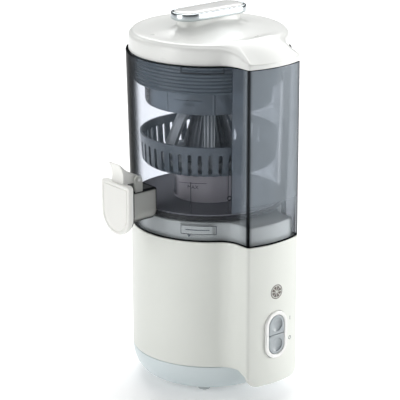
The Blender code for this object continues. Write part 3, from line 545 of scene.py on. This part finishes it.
def strip(inner, outer, start, end, low, high, into=None, steps=24):
    """A bar bent round the drive axis; inner and outer are radii as functions of height."""
    corners = [(0, low), (1, low), (1, high), (0, high)]
    rings = []
    for i in range(steps + 1):
        angle = math.radians(start + (end - start) * i / steps)
        ring = []
        for side, z in corners:
            r = outer(z) if side else inner(z)
            ring.append((r * math.cos(angle), r * math.sin(angle), z))
        rings.append(ring)
    return loft(rings, looped=False, into=into)


def curved_label(name, outline_mesh, place, mat, body):
    """Maps a flat mesh laid out in (x, y) millimetres onto a surface given by place(x, y, depth)."""
    bm = bmesh.new()
    bm.from_mesh(outline_mesh)
    bpy.data.meshes.remove(outline_mesh)
    for vert in bm.verts:
        x, y, z = vert.co
        vert.co = Vector(place(x, y, z)) * MM
    return finished(name, bm, mat, body, weighted=False)


def filled(curve):
    """The mesh that a curve fills; the curve goes."""
    obj = bpy.data.objects.new("curve", curve)
    bpy.context.scene.collection.objects.link(obj)
    bpy.context.view_layer.update()
    graph = bpy.context.evaluated_depsgraph_get()
    mesh = bpy.data.meshes.new_from_object(obj.evaluated_get(graph))
    bpy.data.objects.remove(obj)
    bpy.data.curves.remove(curve)
    return mesh


def letters(text, size):
    """Plain block letters as a thin flat mesh, centred, in millimetres."""
    curve = bpy.data.curves.new("letters", "FONT")
    curve.body = text
    curve.size = size
    curve.align_x = "CENTER"
    curve.align_y = "CENTER"
    curve.extrude = 0.05
    return filled(curve)


def flat_shape(outlines):
    """Flat closed outlines, given as lists of (x, y), as one thin mesh with holes where they nest."""
    curve = bpy.data.curves.new("shape", "CURVE")
    curve.dimensions = "2D"
    curve.fill_mode = "BOTH"
    curve.extrude = 0.05
    for outline in outlines:
        spline = curve.splines.new("POLY")
        spline.points.add(len(outline) - 1)
        spline.use_cyclic_u = True
        for point, (x, y) in zip(spline.points, outline):
            point.co = (x, y, 0, 1)
    return filled(curve)


def box_outline(left, right, low, high):
    return [(left, low), (right, low), (right, high), (left, high)]


def prism(outline, low, high, turn):
    """A closed bar with the given (a, b) outline between two depths, turned by turn(a, b, depth)."""
    rings = [[turn(a, b, depth) for a, b in outline] for depth in (low, high)]
    return loft(rings, looped=False)


# --- Finishes -------------------------------------------------------------------------------
def finishes():
    return {
        "housing": moulded("cream_plastic", CREAM, 0.34, coat=0.12),
        "lid": moulded("lid_plastic", (0.86, 0.87, 0.84), 0.30, coat=0.2),
        "bowl": base_paint(),
        "cover": moulded("cover_plastic", (0.20, 0.23, 0.25), 0.55),
        "rubber": moulded("rubber", (0.018, 0.018, 0.020), 0.75, grain=500, depth=0.00006),
        "foot": moulded("foot_rubber", (0.55, 0.58, 0.59), 0.7, grain=500, depth=0.00006),
        "seal": moulded("silicone_black", (0.010, 0.011, 0.013), 0.5, grain=300),
        "steel": metal("steel", (0.58, 0.58, 0.57), 0.32, (1, 1, 12)),
        "screw": metal("screw_steel", (0.52, 0.52, 0.50), 0.28, (1, 1, 20), scale=1500),
        "bronze": metal("bronze", (0.60, 0.42, 0.20), 0.38, (1, 1, 8)),
        "iron": metal("iron_sheets", (0.10, 0.10, 0.11), 0.5, (0.05, 0.05, 1), 0.0001, 1800),
        "copper": metal("copper_wire", (0.62, 0.27, 0.12), 0.38, (0.1, 0.1, 1), 0.0002, 700),
        "brass": metal("brass", (0.66, 0.48, 0.20), 0.3, (1, 1, 10)),
        "nylon": moulded("nylon", (0.80, 0.79, 0.74), 0.45),
        "black": moulded("black_plastic", (0.022, 0.023, 0.026), 0.45),
        "board": moulded("board", (0.03, 0.13, 0.05), 0.4, grain=250, depth=0.00005),
        "bezel": moulded("bezel_plastic", (0.93, 0.93, 0.91), 0.16, spread=0.03, coat=0.5),
        "button": moulded("button_plastic", (0.38, 0.42, 0.44), 0.24, coat=0.4),
        "flap": moulded("flap_plastic", (0.87, 0.87, 0.83), 0.32, coat=0.1),
        "basket": moulded("basket_plastic", (0.125, 0.15, 0.172), 0.30, coat=0.2),
        "reamer": moulded("reamer_plastic", (0.50, 0.53, 0.55), 0.26, coat=0.3),
        "cone": moulded("cone_plastic", (0.20, 0.22, 0.235), 0.28, coat=0.3),
        "trim": metal("chrome", (0.60, 0.65, 0.67), 0.24, (1, 1, 1), 0.000004, 60),
        "cap": moulded("cap_plastic", (0.90, 0.90, 0.88), 0.22, coat=0.4),
        "print_dark": moulded("print_brown", (0.07, 0.045, 0.035), 0.5),
        "print_grey": moulded("print_grey", (0.12, 0.14, 0.16), 0.5),
        # corner=1.0 gives the container and the duct their painted shade on edges and rims.
        "container": clear("container_clear", (0.915, 0.925, 0.945), (0.008, 0.011, 0.016), -0.02,
                           (0.37, 0.42, 0.46), corner=1.0, frost=0.42),
        "partition": clear("partition_frosted", (0.86, 0.875, 0.89), (0.04, 0.05, 0.06), 0.30,
                           (0.46, 0.52, 0.57), 0.35),
        "bowl_clear": clear("bowl_clear", (0.80, 0.79, 0.82), (0.03, 0.03, 0.04), 0.62,
                            (0.84, 0.82, 0.87), 0.22),
        "column": clear("column_milky", (0.84, 0.81, 0.82), (0.2, 0.2, 0.22), 0.6,
                        (0.86, 0.80, 0.82), 0.2),
        "collar": clear("collar_clear", (0.40, 0.44, 0.47), (0.03, 0.04, 0.05), 0.42,
                        (0.27, 0.31, 0.345), 0.15, gloss=0.6),
        "skirt": clear("skirt_smoke", (0.16, 0.19, 0.22), (0.03, 0.04, 0.05), 0.6,
                       (0.22, 0.265, 0.30), 0.2, gloss=1.0),
        "duct": clear("duct_frosted", (0.90, 0.905, 0.90), (0.02, 0.022, 0.025), 0.36,
                      (0.78, 0.79, 0.75), 0.2, corner=1.0),
    }


def base_paint():
    """Satin paint with fine metal flake."""
    mat = moulded("satin_blue_grey", BLUE_GREY, 0.34, shade=0.02, grain=2600, depth=0.000012, coat=0.1)
    set_socket(mat, "Metallic", 0.2)
    return mat


def numbered(name, count):
    return ["%s_%d" % (name, i + 1) for i in range(count)]


CARRIED = {
    "cover": ("bottom_cover", "tower_bottom_cover"),
    "foot": numbered("foot", 4),
    "rubber": ("cord_gland",),
    "screw": (numbered("cover_screw", 4) + numbered("plate_screw", 3) + numbered("motor_screw", 2)
              + numbered("board_screw", 2)),
    "steel": ("gearbox_plate", "motor_bracket", "output_shaft", "motor_shaft", "flap_pin"),
    "bronze": ("lower_bearing", "upper_bearing", "motor_bearing"),
    "seal": ("shaft_seal", "flap_seal"),
    "iron": ("motor_stator",),
    "copper": ("armature", "commutator"),
    "black": ("motor_fan", "drive_coupling", "hub_socket", "switch_block_upper",
              "switch_block_lower", "interlock_switch"),
    "brass": ("pinion",),
    "nylon": ("drive_gear",),
    "board": ("switch_board",),
}


# --- Base -----------------------------------------------------------------------------------
def housing(looks):
    outer = keyhole(BASE_R)
    edge = [apron_edge(x, y) for x, y in outer]

    def along_edge(inset, rise):
        return [(x, y, z + rise) for (x, y), z in zip(keyhole(BASE_R, inset), edge)]

    def polar(radius, z):
        return at_height(polar_circle(radius, outer), z)

    def inset(amount, z):
        return at_height(keyhole(BASE_R, amount), z)

    rings = [along_edge(0.9, 0), along_edge(0.35, 0.15), along_edge(0.08, 0.5), along_edge(0, 1.1)]
    rings += [inset(0, LEDGE_Z - 1.2), inset(0.1, LEDGE_Z - 0.6), inset(0.4, LEDGE_Z - 0.15)]
    rings += [inset(1, LEDGE_Z), inset(4.4, LEDGE_Z), inset(4.6, LEDGE_Z + 0.3)]
    rings += [inset(4.9, DECK_Z - 2.2), inset(5.1, DECK_Z - 1), inset(5.7, DECK_Z - 0.3)]
    rings += [inset(6.8, DECK_Z)]
    rings += [polar(31, DECK_Z), polar(28.6, DECK_Z + 0.5), polar(27.2, DECK_Z + 2.2)]
    rings += [polar(24.6, HUB_TOP - 2.3), polar(24.2, HUB_TOP - 0.9), polar(23, HUB_TOP)]
    rings += [polar(HUB_BORE, HUB_TOP), polar(HUB_BORE, HUB_TOP - 6.5), polar(21.8, HUB_TOP - 6.5)]
    rings += [polar(24, DECK_Z - WALL), inset(7.6, DECK_Z - WALL), inset(7.3, LEDGE_Z - WALL)]
    rings += [inset(WALL, LEDGE_Z - WALL), along_edge(WALL, 0)]
    shell = finished("housing_shell", loft(rings), looks["housing"], "base", ["motor_housing"])
    hole = [(b, a) for a, b in pill(50.6, 28.6)]
    apply_cut(shell, prism(hole, TOWER_FRONT - 9, TOWER_FRONT + 9,
                           lambda a, b, depth: (a, -depth, BUTTON_Z + b)))
    gland = arc(0, 0, 6.3, 0, 360, 40)[:-1]
    apply_cut(shell, prism(gland, BASE_R - 9, BASE_R + 9, lambda a, b, depth: (a, depth, 48 + b)))


def bowl(looks):
    lip_r = BASE_R - WALL - 0.4
    top = BAND_TOP - 0.3
    curve = [(57, BOWL_LOW.z), (63.5, 6.0), (69, 9.3), (72.3, 13.2), (74.6, 17.5), (76.2, 21.8),
             (77.2, 26), (77.7, 29.5), (77.98, 32.6)]
    profile = [(44, BOWL_LOW.z)] + smooth_profile(curve, 3) + [(77.8, top - 0.3), (77.2, top)]
    profile += [(lip_r, top), (lip_r, 39), (lip_r - 2.2, 39), (lip_r - 2.2, 27)]
    profile += [(72.3, 19), (67.2, 11.4), (56.5, 6.3), (44, 6.3)]
    finished("base_shell", lathe(profile, 160), looks["bowl"], "base", ["base_bowl"])


def lug(looks):
    bm = strip(lambda z: BASE_R - 4.1, lambda z: BASE_R - 2.7, -152, -127, 172.5, 182.5)
    finished("latch_lug", bm, looks["housing"], "base", ["lock_lug"])


def bezel(looks):
    front = -BEZEL_LOW.y
    back = -BEZEL_HIGH.y

    def ring(length, width, depth):
        return [(b, -depth, BUTTON_Z + a) for a, b in pill(length, width, 40)]

    rings = [ring(55, 33, back), ring(55, 33, front - 6),
             ring(50, 28, front - 6), ring(50, 28, front - 1.2),
             ring(49.7, 27.7, front - 0.6), ring(49.1, 27.1, front - 0.2), ring(48.2, 26.2, front),
             ring(43.2, 22.2, front), ring(42.2, 21.2, front - 0.2), ring(41.4, 20.4, front - 0.8),
             ring(41.1, 20.1, front - 1.6), ring(41.1, 20.1, back)]
    finished("button_bezel", loft(rings), looks["bezel"], "base", ["switch_bezel"])


def button_face(looks, side):
    """Half of a pill with a sunk round dish; side is +1 above the dividing line."""
    half, reach, low, rim, dish = 9.75, 20.25, 0.25, 7.0, 17.0
    name = "button_upper" if side > 0 else "button_lower"
    front = -low_high(name)[0].y
    back = front - 8.6
    shoulder = reach - half
    steps = 96

    def outline(inset, depth):
        ring = []
        for i in range(steps):
            a = math.tau * i / steps
            radius = half - inset
            x, y = radius * math.cos(a), radius * math.sin(a)
            if y < 0:
                down = shoulder - low - inset
                scale = min(radius / max(abs(math.cos(a)), 1e-6), down / max(abs(math.sin(a)), 1e-6))
                x, y = scale * math.cos(a), scale * math.sin(a)
            ring.append((x, -depth, BUTTON_Z + side * (shoulder + y)))
        return ring

    def round_ring(radius, depth):
        return [(radius * math.cos(math.tau * i / steps), -depth,
                 BUTTON_Z + side * (shoulder + radius * math.sin(math.tau * i / steps)))
                for i in range(steps)]

    rings = [outline(0, back), outline(0, front - 1.1), outline(0.12, front - 0.5),
             outline(0.4, front - 0.15), outline(0.9, front)]
    sunk = front - 0.9
    rings += [round_ring(rim + 0.35, front), round_ring(rim + 0.1, front - 0.15)]
    rings += [round_ring(rim, sunk)]
    floor = math.sqrt(dish ** 2 - rim ** 2)
    for i in range(1, 12):
        r = rim * (1 - i / 12)
        rings.append(round_ring(r, sunk - (math.sqrt(dish ** 2 - r ** 2) - floor)))
    finished(name + "_face", loft(rings, looped=False), looks["button"],
             name.replace("button_", "") + "_button", [name])


def tower_face(x, z, depth):
    """A point on the bulging front of the tower, pushed outwards by depth."""
    reach = FACE_R + depth
    return (x, FACE_R - TOWER_FRONT - math.sqrt(reach ** 2 - x ** 2), z)


def marks(looks):
    """Generic signs: a slice of fruit above the buttons, and on and off beside them."""
    slice_z = 115.5
    outlines = [arc(0, slice_z, 7.4, 0, 360, 64)[:-1], arc(0, slice_z, 6.6, 0, 360, 64)[:-1]]
    for wedge in range(8):
        a = 360 * wedge / 8 + 5
        middle = math.radians(a + 17.5)
        outlines.append([(0.9 * math.cos(middle), slice_z + 0.9 * math.sin(middle))]
                        + arc(0, slice_z, 5.7, a, a + 35, 8))

    def onto(x, y, z):
        return tower_face(x, y, 0.06 + z)

    curved_label("fruit_slice_sign", flat_shape(outlines), onto, looks["print_dark"], "base")
    on_sign = [box_outline(19.7, 20.3, 80.6, 84.6)]
    off_sign = [arc(20, 61.3, 2.0, 0, 360, 40)[:-1], arc(20, 61.3, 1.4, 0, 360, 40)[:-1]]
    curved_label("on_sign", flat_shape(on_sign), onto, looks["print_grey"], "base")
    curved_label("off_sign", flat_shape(off_sign), onto, looks["print_grey"], "base")


# --- Container ------------------------------------------------------------------------------
def container(looks):
    def ring(inset, z):
        return at_height(keyhole(container_radius(z), inset), z)

    low, high, thick = SHELL_LOW.z, SHELL_HIGH.z, 2.2
    rings = [ring(0.5, low), ring(0.12, low + 0.15), ring(0, low + 0.6), ring(0, low + 1.3)]
    rings += [ring(0, z) for z in (DECK_Z, DECK_Z + 25, 250, 290, 320)]
    rings += [ring(0, high - 1.4), ring(0, high - 0.8), ring(0.2, high - 0.2), ring(0.7, high)]
    rings += [ring(thick - 0.6, high), ring(thick - 0.1, high - 0.3), ring(thick, high - 0.8)]
    rings += [ring(thick, high - 1.4)]
    rings += [ring(thick, low + 1.3), ring(thick, low + 0.5), ring(thick - 0.3, low)]
    last = len(rings)
    # Painted shade: the rings round the bottom edge and the rim and the tower's vertical edges are
    # pulled towards the near-black edge colour in place of the lines that refraction draws; the tower's
    # right flank gets half of it as painted side shade.
    dark = {0, 1, 2, last - 1, last - 2} | set(range(last - 9, last - 4))
    painted_edge_shade = [max(mark, 0.5 if x > 28 and y < -35 else 0)
              for mark, (x, y) in zip(tower_edge_shade(), keyhole(TOP_R))]
    wall = finished("container_wall", loft(rings, corner=painted_edge_shade, painted_shade_rings=dark), looks["container"],
                    "container", ["container_shell"])
    mouth = arc(0, 205, 11, 0, 180, 24) + [(-11, 194), (11, 194)]
    apply_cut(wall, prism(mouth, -90, -66, lambda a, b, depth: (depth, a, b)))


def juice_bowl(looks):
    floor_r = 75.2
    upper = FLOOR_Z + 2.2
    profile = [(57, upper), (floor_r - 0.4, upper), (floor_r, upper - 0.4), (floor_r, FLOOR_Z + 0.3),
               (floor_r - 0.3, FLOOR_Z), (36.2, FLOOR_Z), (36.2, upper)]
    bm = lathe(profile, 160)
    finished("bowl_floor", bm, looks["bowl_clear"], "container", ["juice_bowl"])
    wall = strip(lambda z: container_radius(z) - 4.5, lambda z: container_radius(z) - 2.8, -113, -67,
                 FLOOR_Z + 2.5, JUICE_HIGH.z, steps=40)
    finished("bowl_partition", wall, looks["partition"], "container", ())
    column = [(36.0, upper), (34.9, upper + 0.4), (34.5, upper + 1.4), (34.5, 222.6), (34.1, 223.9),
              (33, 224.5), (11, 224.5), (10, 223.6), (10, 221), (32.3, 221), (32.3, FLOOR_Z),
              (36.0, FLOOR_Z)]
    finished("bowl_column", lathe(column, 128), looks["column"], "container", ())
    seal = [(77.2, 192.0), (77.0, 192.3), (76.1, 192.3), (75.9, 192.0), (75.9, 190.7), (71.3, 190.7),
            (71, 190.3), (71, 188.3), (71.3, 187.9), (76.8, 187.9), (77.2, 188.3)]
    finished("floor_seal", lathe(seal, 144), looks["seal"], "container", ["bowl_seal"])


def fill_marks(looks):
    """Level lines with their word, on the inside of the wall."""
    def onto(angle, z0):
        def place(x, y, depth):
            r = container_radius(z0 + y) - 2.4 - depth
            a = math.radians(angle) + x / r
            return (r * math.cos(a), r * math.sin(a), z0 + y)
        return place

    for number, (angle, z) in enumerate(((-144.7, 309.0), (-142.3, 226.0)), 1):
        line = [box_outline(-13 + 2 * i, -11 + 2 * i, -0.22, 0.22) for i in range(14)]
        curved_label("level_line_%d" % number, flat_shape(line), onto(angle, z),
                     looks["seal"], "container")
        curved_label("level_word_%d" % number, letters("MAX", 5.2), onto(angle + 1, z - 4.2),
                     looks["seal"], "container")


def wall_details(looks):
    """Upright ribs on the inside of the wall and the small round stop on the right one."""
    def inner(z):
        return container_radius(z) - 3.6

    def outer(z):
        return container_radius(z) - 2.5

    for number, (angle, high) in enumerate(((-143.0, 226.5), (-115.5, 236.0), (-113.0, 236.0)), 1):
        bm = strip(inner, outer, angle - 0.18, angle + 0.18, 193.6, high, steps=2)
        finished("wall_rib_%d" % number, bm, looks["seal"], "container", ())
    steps, z0 = 32, 209.5
    angle = math.radians(-114.2)
    rings = []
    for radius, depth in ((1.3, 0.0), (2.3, 0.0), (2.5, 0.3), (2.3, 0.7), (1.3, 0.7)):
        ring = []
        for i in range(steps):
            turn = math.tau * i / steps
            r = inner(z0) - 0.2 - depth
            a = angle + radius * math.cos(turn) / r
            ring.append((r * math.cos(a), r * math.sin(a), z0 + radius * math.sin(turn)))
        rings.append(ring)
    finished("wall_stop", loft(rings), looks["seal"], "container", ())


def latch_frame(looks):
    """Dark outline and pointer of the safety latch, just in front of the lug."""
    radius = BASE_R - 2.55
    middle = math.radians(-137.5)

    def onto(x, y, depth):
        a = middle + x / radius
        return ((radius + depth) * math.cos(a), (radius + depth) * math.sin(a), 177.5 + y)

    across, up, bar = 18.0, 4.6, 0.55
    outlines = []
    for side in (-1, 1):
        steps = [-across + 2 * across * i / 24 for i in range(25)]
        y = side * (up - bar / 2)
        for left, right in zip(steps, steps[1:]):
            outlines.append(box_outline(left, right, y - bar / 2, y + bar / 2))
        x = side * (across - bar / 2)
        outlines.append(box_outline(x - bar / 2, x + bar / 2, bar - up, up - bar))
    outlines += [box_outline(-13 + 2 * i, -11.2 + 2 * i, -0.4, 0.5) for i in range(12)]
    outlines.append([(-9.5, -7.6), (-7.6, -4.9), (-11.4, -4.9)])
    curved_label("latch_outline", flat_shape(outlines), onto, looks["print_grey"], "base")


def duct(looks):
    half, low, high, wall = 14.0, DUCT_LOW.z, SPOUT_TOP, 2.0
    mouth = DUCT_LOW.x

    def channel(inset):
        h = half - inset
        t = high - inset
        top = [(h, t - 2.6), (h, t - 1.2), (h - 1.2, t), (h - 2.6, t),
               (2.6 - h, t), (1.2 - h, t), (-h, t - 1.2), (-h, t - 2.6)]
        return top + arc(0, low + half, h, 180, 360, 32)

    def against_wall(outline, away=0.0):
        ring = []
        for y, z in outline:
            r = container_radius(z) + 0.35 + away
            ring.append((-math.sqrt(r * r - y * y), y, z))
        return ring

    outside, inside = channel(0), channel(wall)
    rings = [[(mouth, y, z) for y, z in channel(0.6)], [(mouth + 0.6, y, z) for y, z in outside],
             against_wall(outside, 1.8), against_wall(outside),
             against_wall(inside), against_wall(inside, 1.8),
             [(mouth + 0.4, y, z) for y, z in inside], [(mouth, y, z) for y, z in channel(wall - 0.4)]]
    # Painted shade along the channel's top corners, round its mouth and where it meets the wall.
    bm = loft(rings, corner=[0, 1, 1, 0, 0, 1, 1, 0] + [0] * 33, painted_shade_rings=(0, 3, 4, 7))
    eye, foot = 4.4, -12.6
    ear = [(-eye, foot), (-eye, 0)] + arc(0, 0, eye, 170, 10, 16) + [(eye, 0), (eye, foot)]
    for side in (-1, 1):
        near, far = side * 10.75, side * 13.65
        rings = [[(PIVOT.x + x, y, PIVOT.z + z) for x, z in ear] for y in (near, far)]
        loft(rings, looped=False, into=bm)
    finished("spout_channel", bm, looks["duct"], "container", ["spout_duct"])


# --- Flap -----------------------------------------------------------------------------------
def flap(looks):
    half, low, high, face, thick = 22.0, FLAP_LOW.z, 226.5, -118.5, 5.8
    middle = low + half

    def leaf(inset, x):
        h = half - inset
        corner = max(3 - inset, 0.6)
        top = high - inset
        outline = arc(h - corner, top - corner, corner, 0, 90, 6)
        outline += arc(corner - h, top - corner, corner, 90, 180, 6)
        outline += arc(0, middle, h, 180, 360, 48)
        return [(x, y, z) for y, z in outline]

    rings = [leaf(0.7, face + thick), leaf(0.15, face + thick - 0.25), leaf(0, face + thick - 0.8),
             leaf(0, face + 1.1), leaf(0.2, face + 0.5), leaf(0.6, face + 0.12), leaf(1.1, face),
             leaf(2.7, face), leaf(3.0, face + 0.1), leaf(3.3, face + 0.7), leaf(3.6, face + 0.8),
             leaf(3.9, face + 0.7), leaf(4.2, face + 0.1), leaf(4.6, face)]
    bm = loft(rings, looped=False)
    side = [(face + 0.2, 221), (-113.2, 221.6), (-111.6, 223.2), (-109, 225.4), (-103.5, 225.1),
            (-99.5, 225), (-97.4, 225.7), (-96, 227.2), (-95.5, 229), (-96, 230.8), (-97.4, 232.3),
            (-99.5, 233), (-102.3, 233.6), (-105, 234.9), (-107.6, 236.6), (-111, 239.3),
            (-114.6, 242.9), (-118.2, 246.4), (-118.9, 246.0), (-118.9, 244.8), (-117, 241.2),
            (-115.6, 237), (-115.2, 232), (-115.8, 227)]
    rings = []
    for y, shrink in ((-9, 0.5), (-8.6, 0.1), (-8, 0), (8, 0), (8.6, 0.1), (9, 0.5)):
        ring = []
        for i, (x, z) in enumerate(side):
            before, after = Vector(side[i - 1]), Vector(side[(i + 1) % len(side)])
            tangent = (after - before).normalized()
            ring.append((x - tangent.y * shrink, y, z + tangent.x * shrink))
        rings.append(ring)
    loft(rings, looped=False, into=bm)
    finished("flap_leaf", bm, looks["flap"], "flap", ["flap_plate"], sharp=35)


# --- Basket and reamer ----------------------------------------------------------------------
def basket(looks):
    base, rim = BASKET_LOW.z, BASKET_HIGH.z
    floor = base + 2.5
    profile = rounded([(69.0, rim, 0.7), (68.4, rim - 7, 0.5), (67.2, base + 4, 1.5),
                       (63.5, base, 2), (13.8, base, 0), (13.8, floor, 0),
                       (62.4, floor, 1.5), (64.6, base + 4.8, 1.2), (66.8, rim, 0.7)])
    shell = finished("basket_wall", lathe(profile, 252), looks["basket"], "basket",
                     ["strainer_basket"])
    slots = 42
    cutters = bmesh.new()
    arch = arc(0, 249.5, 2.0, 0, 180, 8) + [(-2.0, 224), (2.0, 224)]
    for i in range(slots):
        turn = Matrix.Rotation(math.tau * i / slots, 3, "Z")
        rings = [[tuple(turn @ Vector((depth, a, b))) for a, b in arch] for depth in (60.5, 72)]
        loft(rings, looped=False, into=cutters)
    apply_cut(shell, cutters)


def reamer(looks):
    arms, turn, seat = 6, 50.3, REAMER_LOW.z
    ogive = [(0.01, 305), (5, 304.2), (12, 299.5), (22, 290), (33, 273), (42, 253), (50, 233.2)]
    hollow = [(46.8, 233.2), (38.9, 253.3), (30, 272.3), (19.5, 288.4), (10.5, 296.4), (0.01, 299.5)]
    outside, inside = smooth_profile(ogive, 5), smooth_profile(hollow, 3)

    def grooved(r, z, angle):
        if r < 3 or (r, z) in inside_set:
            return r
        nearest = (angle - math.radians(turn) + math.pi / arms) % (math.tau / arms) - math.pi / arms
        across = r * math.sin(nearest)
        wave = 0.5 - 0.5 * math.cos(math.tau * across / 3.6)
        return r - 0.9 * wave * min(r / 14, 1) if abs(across) < 5.4 else r

    inside_set = set(inside)
    shell = finished("reamer_arms", lathe(outside + inside, 480, grooved), looks["reamer"], "basket",
                     ["reamer_outer"], sharp=50)
    half_pitch = 180 / arms
    width = 12.0
    cutters = bmesh.new()
    for arm in range(arms):
        middle = turn + (2 * arm + 1) * half_pitch
        corners = []
        start = width / 2 / math.sin(math.radians(half_pitch))
        for reach, angle in ((0, middle), (62, middle - half_pitch), (62, middle + half_pitch)):
            x = start * math.cos(math.radians(middle)) + reach * math.cos(math.radians(angle))
            y = start * math.sin(math.radians(middle)) + reach * math.sin(math.radians(angle))
            corners.append((x, y, 2.5 if reach == 0 else 0))
        soft = rounded(corners, 6)
        loft([at_height(soft, z) for z in (236.4, 306)], looped=False, into=cutters)
    apply_cut(shell, cutters)
    ring = rounded([(50.6, 236, 0.6), (50.6, seat, 0.3), (43.6, seat, 0.3), (43.6, 236, 0.6)], 3)
    finished("reamer_ring", lathe(ring, 144), looks["reamer"], "basket", ())

    cone = [(26.6, seat), (26, 234), (25, 240), (24, 246), (21.8, 255), (19, 264), (16, 272.6),
            (12.5, 280), (8.8, 286.4), (5, 291.0), (2.5, 291.9), (0.01, 292)]
    skin = smooth_profile(cone, 3)
    core = [(0.01, 288.5), (16, 262), (21.5, seat)]

    def ribbed(r, z, angle):
        if (r, z) in core_set:
            return r
        rise = min(max((z - seat) / 3, 0), 1) * min(r / 8, 1)
        return r + rise * (1.5 * abs(math.cos(14 * angle)) ** 1.5 - 0.4)

    core_set = set(core)
    finished("reamer_cone", lathe(skin + core, 448, ribbed), looks["cone"], "basket",
             ["reamer_inner"], sharp=60)


# --- Lid and pusher -------------------------------------------------------------------------
def lid(looks):
    outline = keyhole(LID_R)
    front = []
    for x, y in outline:
        share = min(max((-66 - y) / 36, 0), 1)
        front.append(0.75 * share + 0.25 * share * share * (3 - 2 * share))

    def ring(inset, z_round, z_front):
        heights = [z_round + (z_front - z_round) * share for share in front]
        return [(x, y, z) for (x, y), z in zip(keyhole(LID_R, inset), heights)]

    def polar(radius, z):
        return at_height(polar_circle(radius, outline), z)

    def pills(length, width, z):
        return at_height(polar_pill(length, width, outline), z)

    def between(radius, share, z):
        round_part = polar_circle(radius, outline)
        pill_part = polar_pill(70, 24, outline)
        return [(a + (c - a) * share, b + (d - b) * share, z)
                for (a, b), (c, d) in zip(round_part, pill_part)]

    low, neck = RIM_Z + 0.3, LID_HIGH.z
    throat = LID_LOW.z
    side = [ring(0.3, low, low), ring(0, low + 0.4, low + 0.4), ring(0, 356.2, 346.8),
            ring(0.15, 357.6, 347.6), ring(0.55, 358.9, 348.2)]
    shoulder = smooth_rings([ring(1.3, 360.0, 348.7), ring(2.6, 361.0, 349.3), polar(73.5, 362.9),
                             between(64, 0.1, 363.1), between(54, 0.35, 364.4),
                             between(48, 0.62, 366.8), between(44, 0.85, 370), pills(74, 26, neck)], 5)
    inner = [pills(73.2, 25.2, neck), pills(66.6, 18.6, neck), pills(66, 18, neck - 0.5),
             pills(66, 18, throat), pills(70, 22, throat), pills(70, 22, 360), polar(72, 359),
             polar(73.5, 345.8), ring(3.1, 345.8, 345.8), ring(3.1, low, low)]
    finished("lid_shell", loft(side + shoulder + inner), looks["lid"], "lid", ["lid_top"],
             sharp=50)


def skirt(looks):
    outer, low, high = SKIRT_HIGH.x, SKIRT_LOW.z, SKIRT_HIGH.z
    count = 8
    pitch = (high - low) / count
    profile = []
    for i in range(count):
        top = high - pitch * i
        profile += [(outer - 1.1, top), (outer - 0.3, top - 0.18 * pitch), (outer, top - 0.4 * pitch),
                    (outer - 0.3, top - 0.64 * pitch), (outer - 1.1, top - 0.8 * pitch)]
    profile += [(outer - 1.1, low), (outer - 2.6, low), (outer - 2.6, high)]
    finished("skirt_band", lathe(profile, 144), looks["skirt"], "lid", ["lid_skirt"])
    bm = bmesh.new()
    left, right, bottom, top, bar = -150.5, -118.5, 334.6, 341.4, 0.8
    for start, end, z0, z1 in ((left, right, bottom, bottom + bar), (left, right, top - bar, top),
                               (left, left + 0.6, bottom + bar, top - bar),
                               (right - 0.6, right, bottom + bar, top - bar)):
        strip(lambda z: outer + 0.15, lambda z: outer + 0.6, start, end, z0, z1, into=bm)
    finished("skirt_window", bm, looks["seal"], "lid", ())


def collar(looks):
    low, high = COLLAR_LOW.z, COLLAR_HIGH.z
    flange = high - 2

    def seamed(r, z, angle):
        if r < 62 or r > 64:
            return r
        for seam in (-169, -125, -81, -37, 7, 51, 95, 139):
            off = (math.degrees(angle) - seam + 180) % 360 - 180
            if abs(off) < 0.9:
                return r + 0.7
        return r

    profile = [(72.7, high - 0.3), (72.4, high), (61.3, high), (61, high - 0.3), (61, low + 0.3),
               (61.3, low), (62.7, low), (63, low + 0.4), (63, flange), (72.4, flange),
               (72.7, flange + 0.3)]
    finished("feed_collar_ring", lathe(profile, 360, seamed), looks["collar"], "lid", ["feed_collar"])


def pusher(looks):
    def ring(length, width, z):
        return at_height(pill(length, width, 40), z)

    low, high, top = TRIM_LOW.z, TRIM_HIGH.z, CAP_HIGH.z
    stem = [ring(60, 12, 318), ring(62.6, 14.6, 318.4), ring(64.0, 16.0, 319.4), ring(64.4, 16.4, 321),
            ring(64.4, 16.4, low - 0.3), ring(60, 12, low - 0.3), ring(60, 12, 322)]
    finished("pusher_body", loft(stem, looped=False), looks["lid"], "pusher",
             ["pusher_stem"])
    band = [ring(83.5, 32, low), ring(85.2, 33.7, low + 0.5), ring(86.2, 34.7, low + 1.6),
            ring(86.5, 35, low + 3), ring(86.5, 35, high - 2.4), ring(86.2, 34.7, high - 1.3),
            ring(85.3, 33.8, high - 0.45), ring(83.9, 32.4, high), ring(82.3, 30.8, high - 0.1),
            ring(81, 29.5, high - 0.5), ring(80.5, 29, high - 1.2), ring(80.5, 29, low)]
    finished("pusher_ring", loft(band), looks["trim"], "pusher",
             ["pusher_trim"], sharp=60)
    cap = [ring(79.9, 28.4, CAP_LOW.z), ring(79.9, 28.4, top - 2.1), ring(79.6, 28.1, top - 1.6),
           ring(78.6, 27.1, top - 1), ring(76.6, 25.1, top - 0.5), ring(72.5, 21, top - 0.2),
           ring(66, 14.5, top - 0.06), ring(61, 9.5, top), ring(54, 2.5, top)]
    finished("pusher_top", loft(cap, looped=False), looks["cap"], "pusher",
             ["pusher_cap"], sharp=60)


def carried(looks):
    for finish, names in CARRIED.items():
        for name in names:
            obj = bpy.data.objects[name]
            for slot in obj.material_slots:
                slot.material = looks[finish]


camera()
studio()
looks = finishes()
carried(looks)
for build in (housing, bowl, lug, bezel):
    build(looks)
button_face(looks, 1)
button_face(looks, -1)
for build in (marks, container, juice_bowl, fill_marks, wall_details, latch_frame, duct, flap,
              basket, reamer, lid, skirt, collar, pusher):
    build(looks)
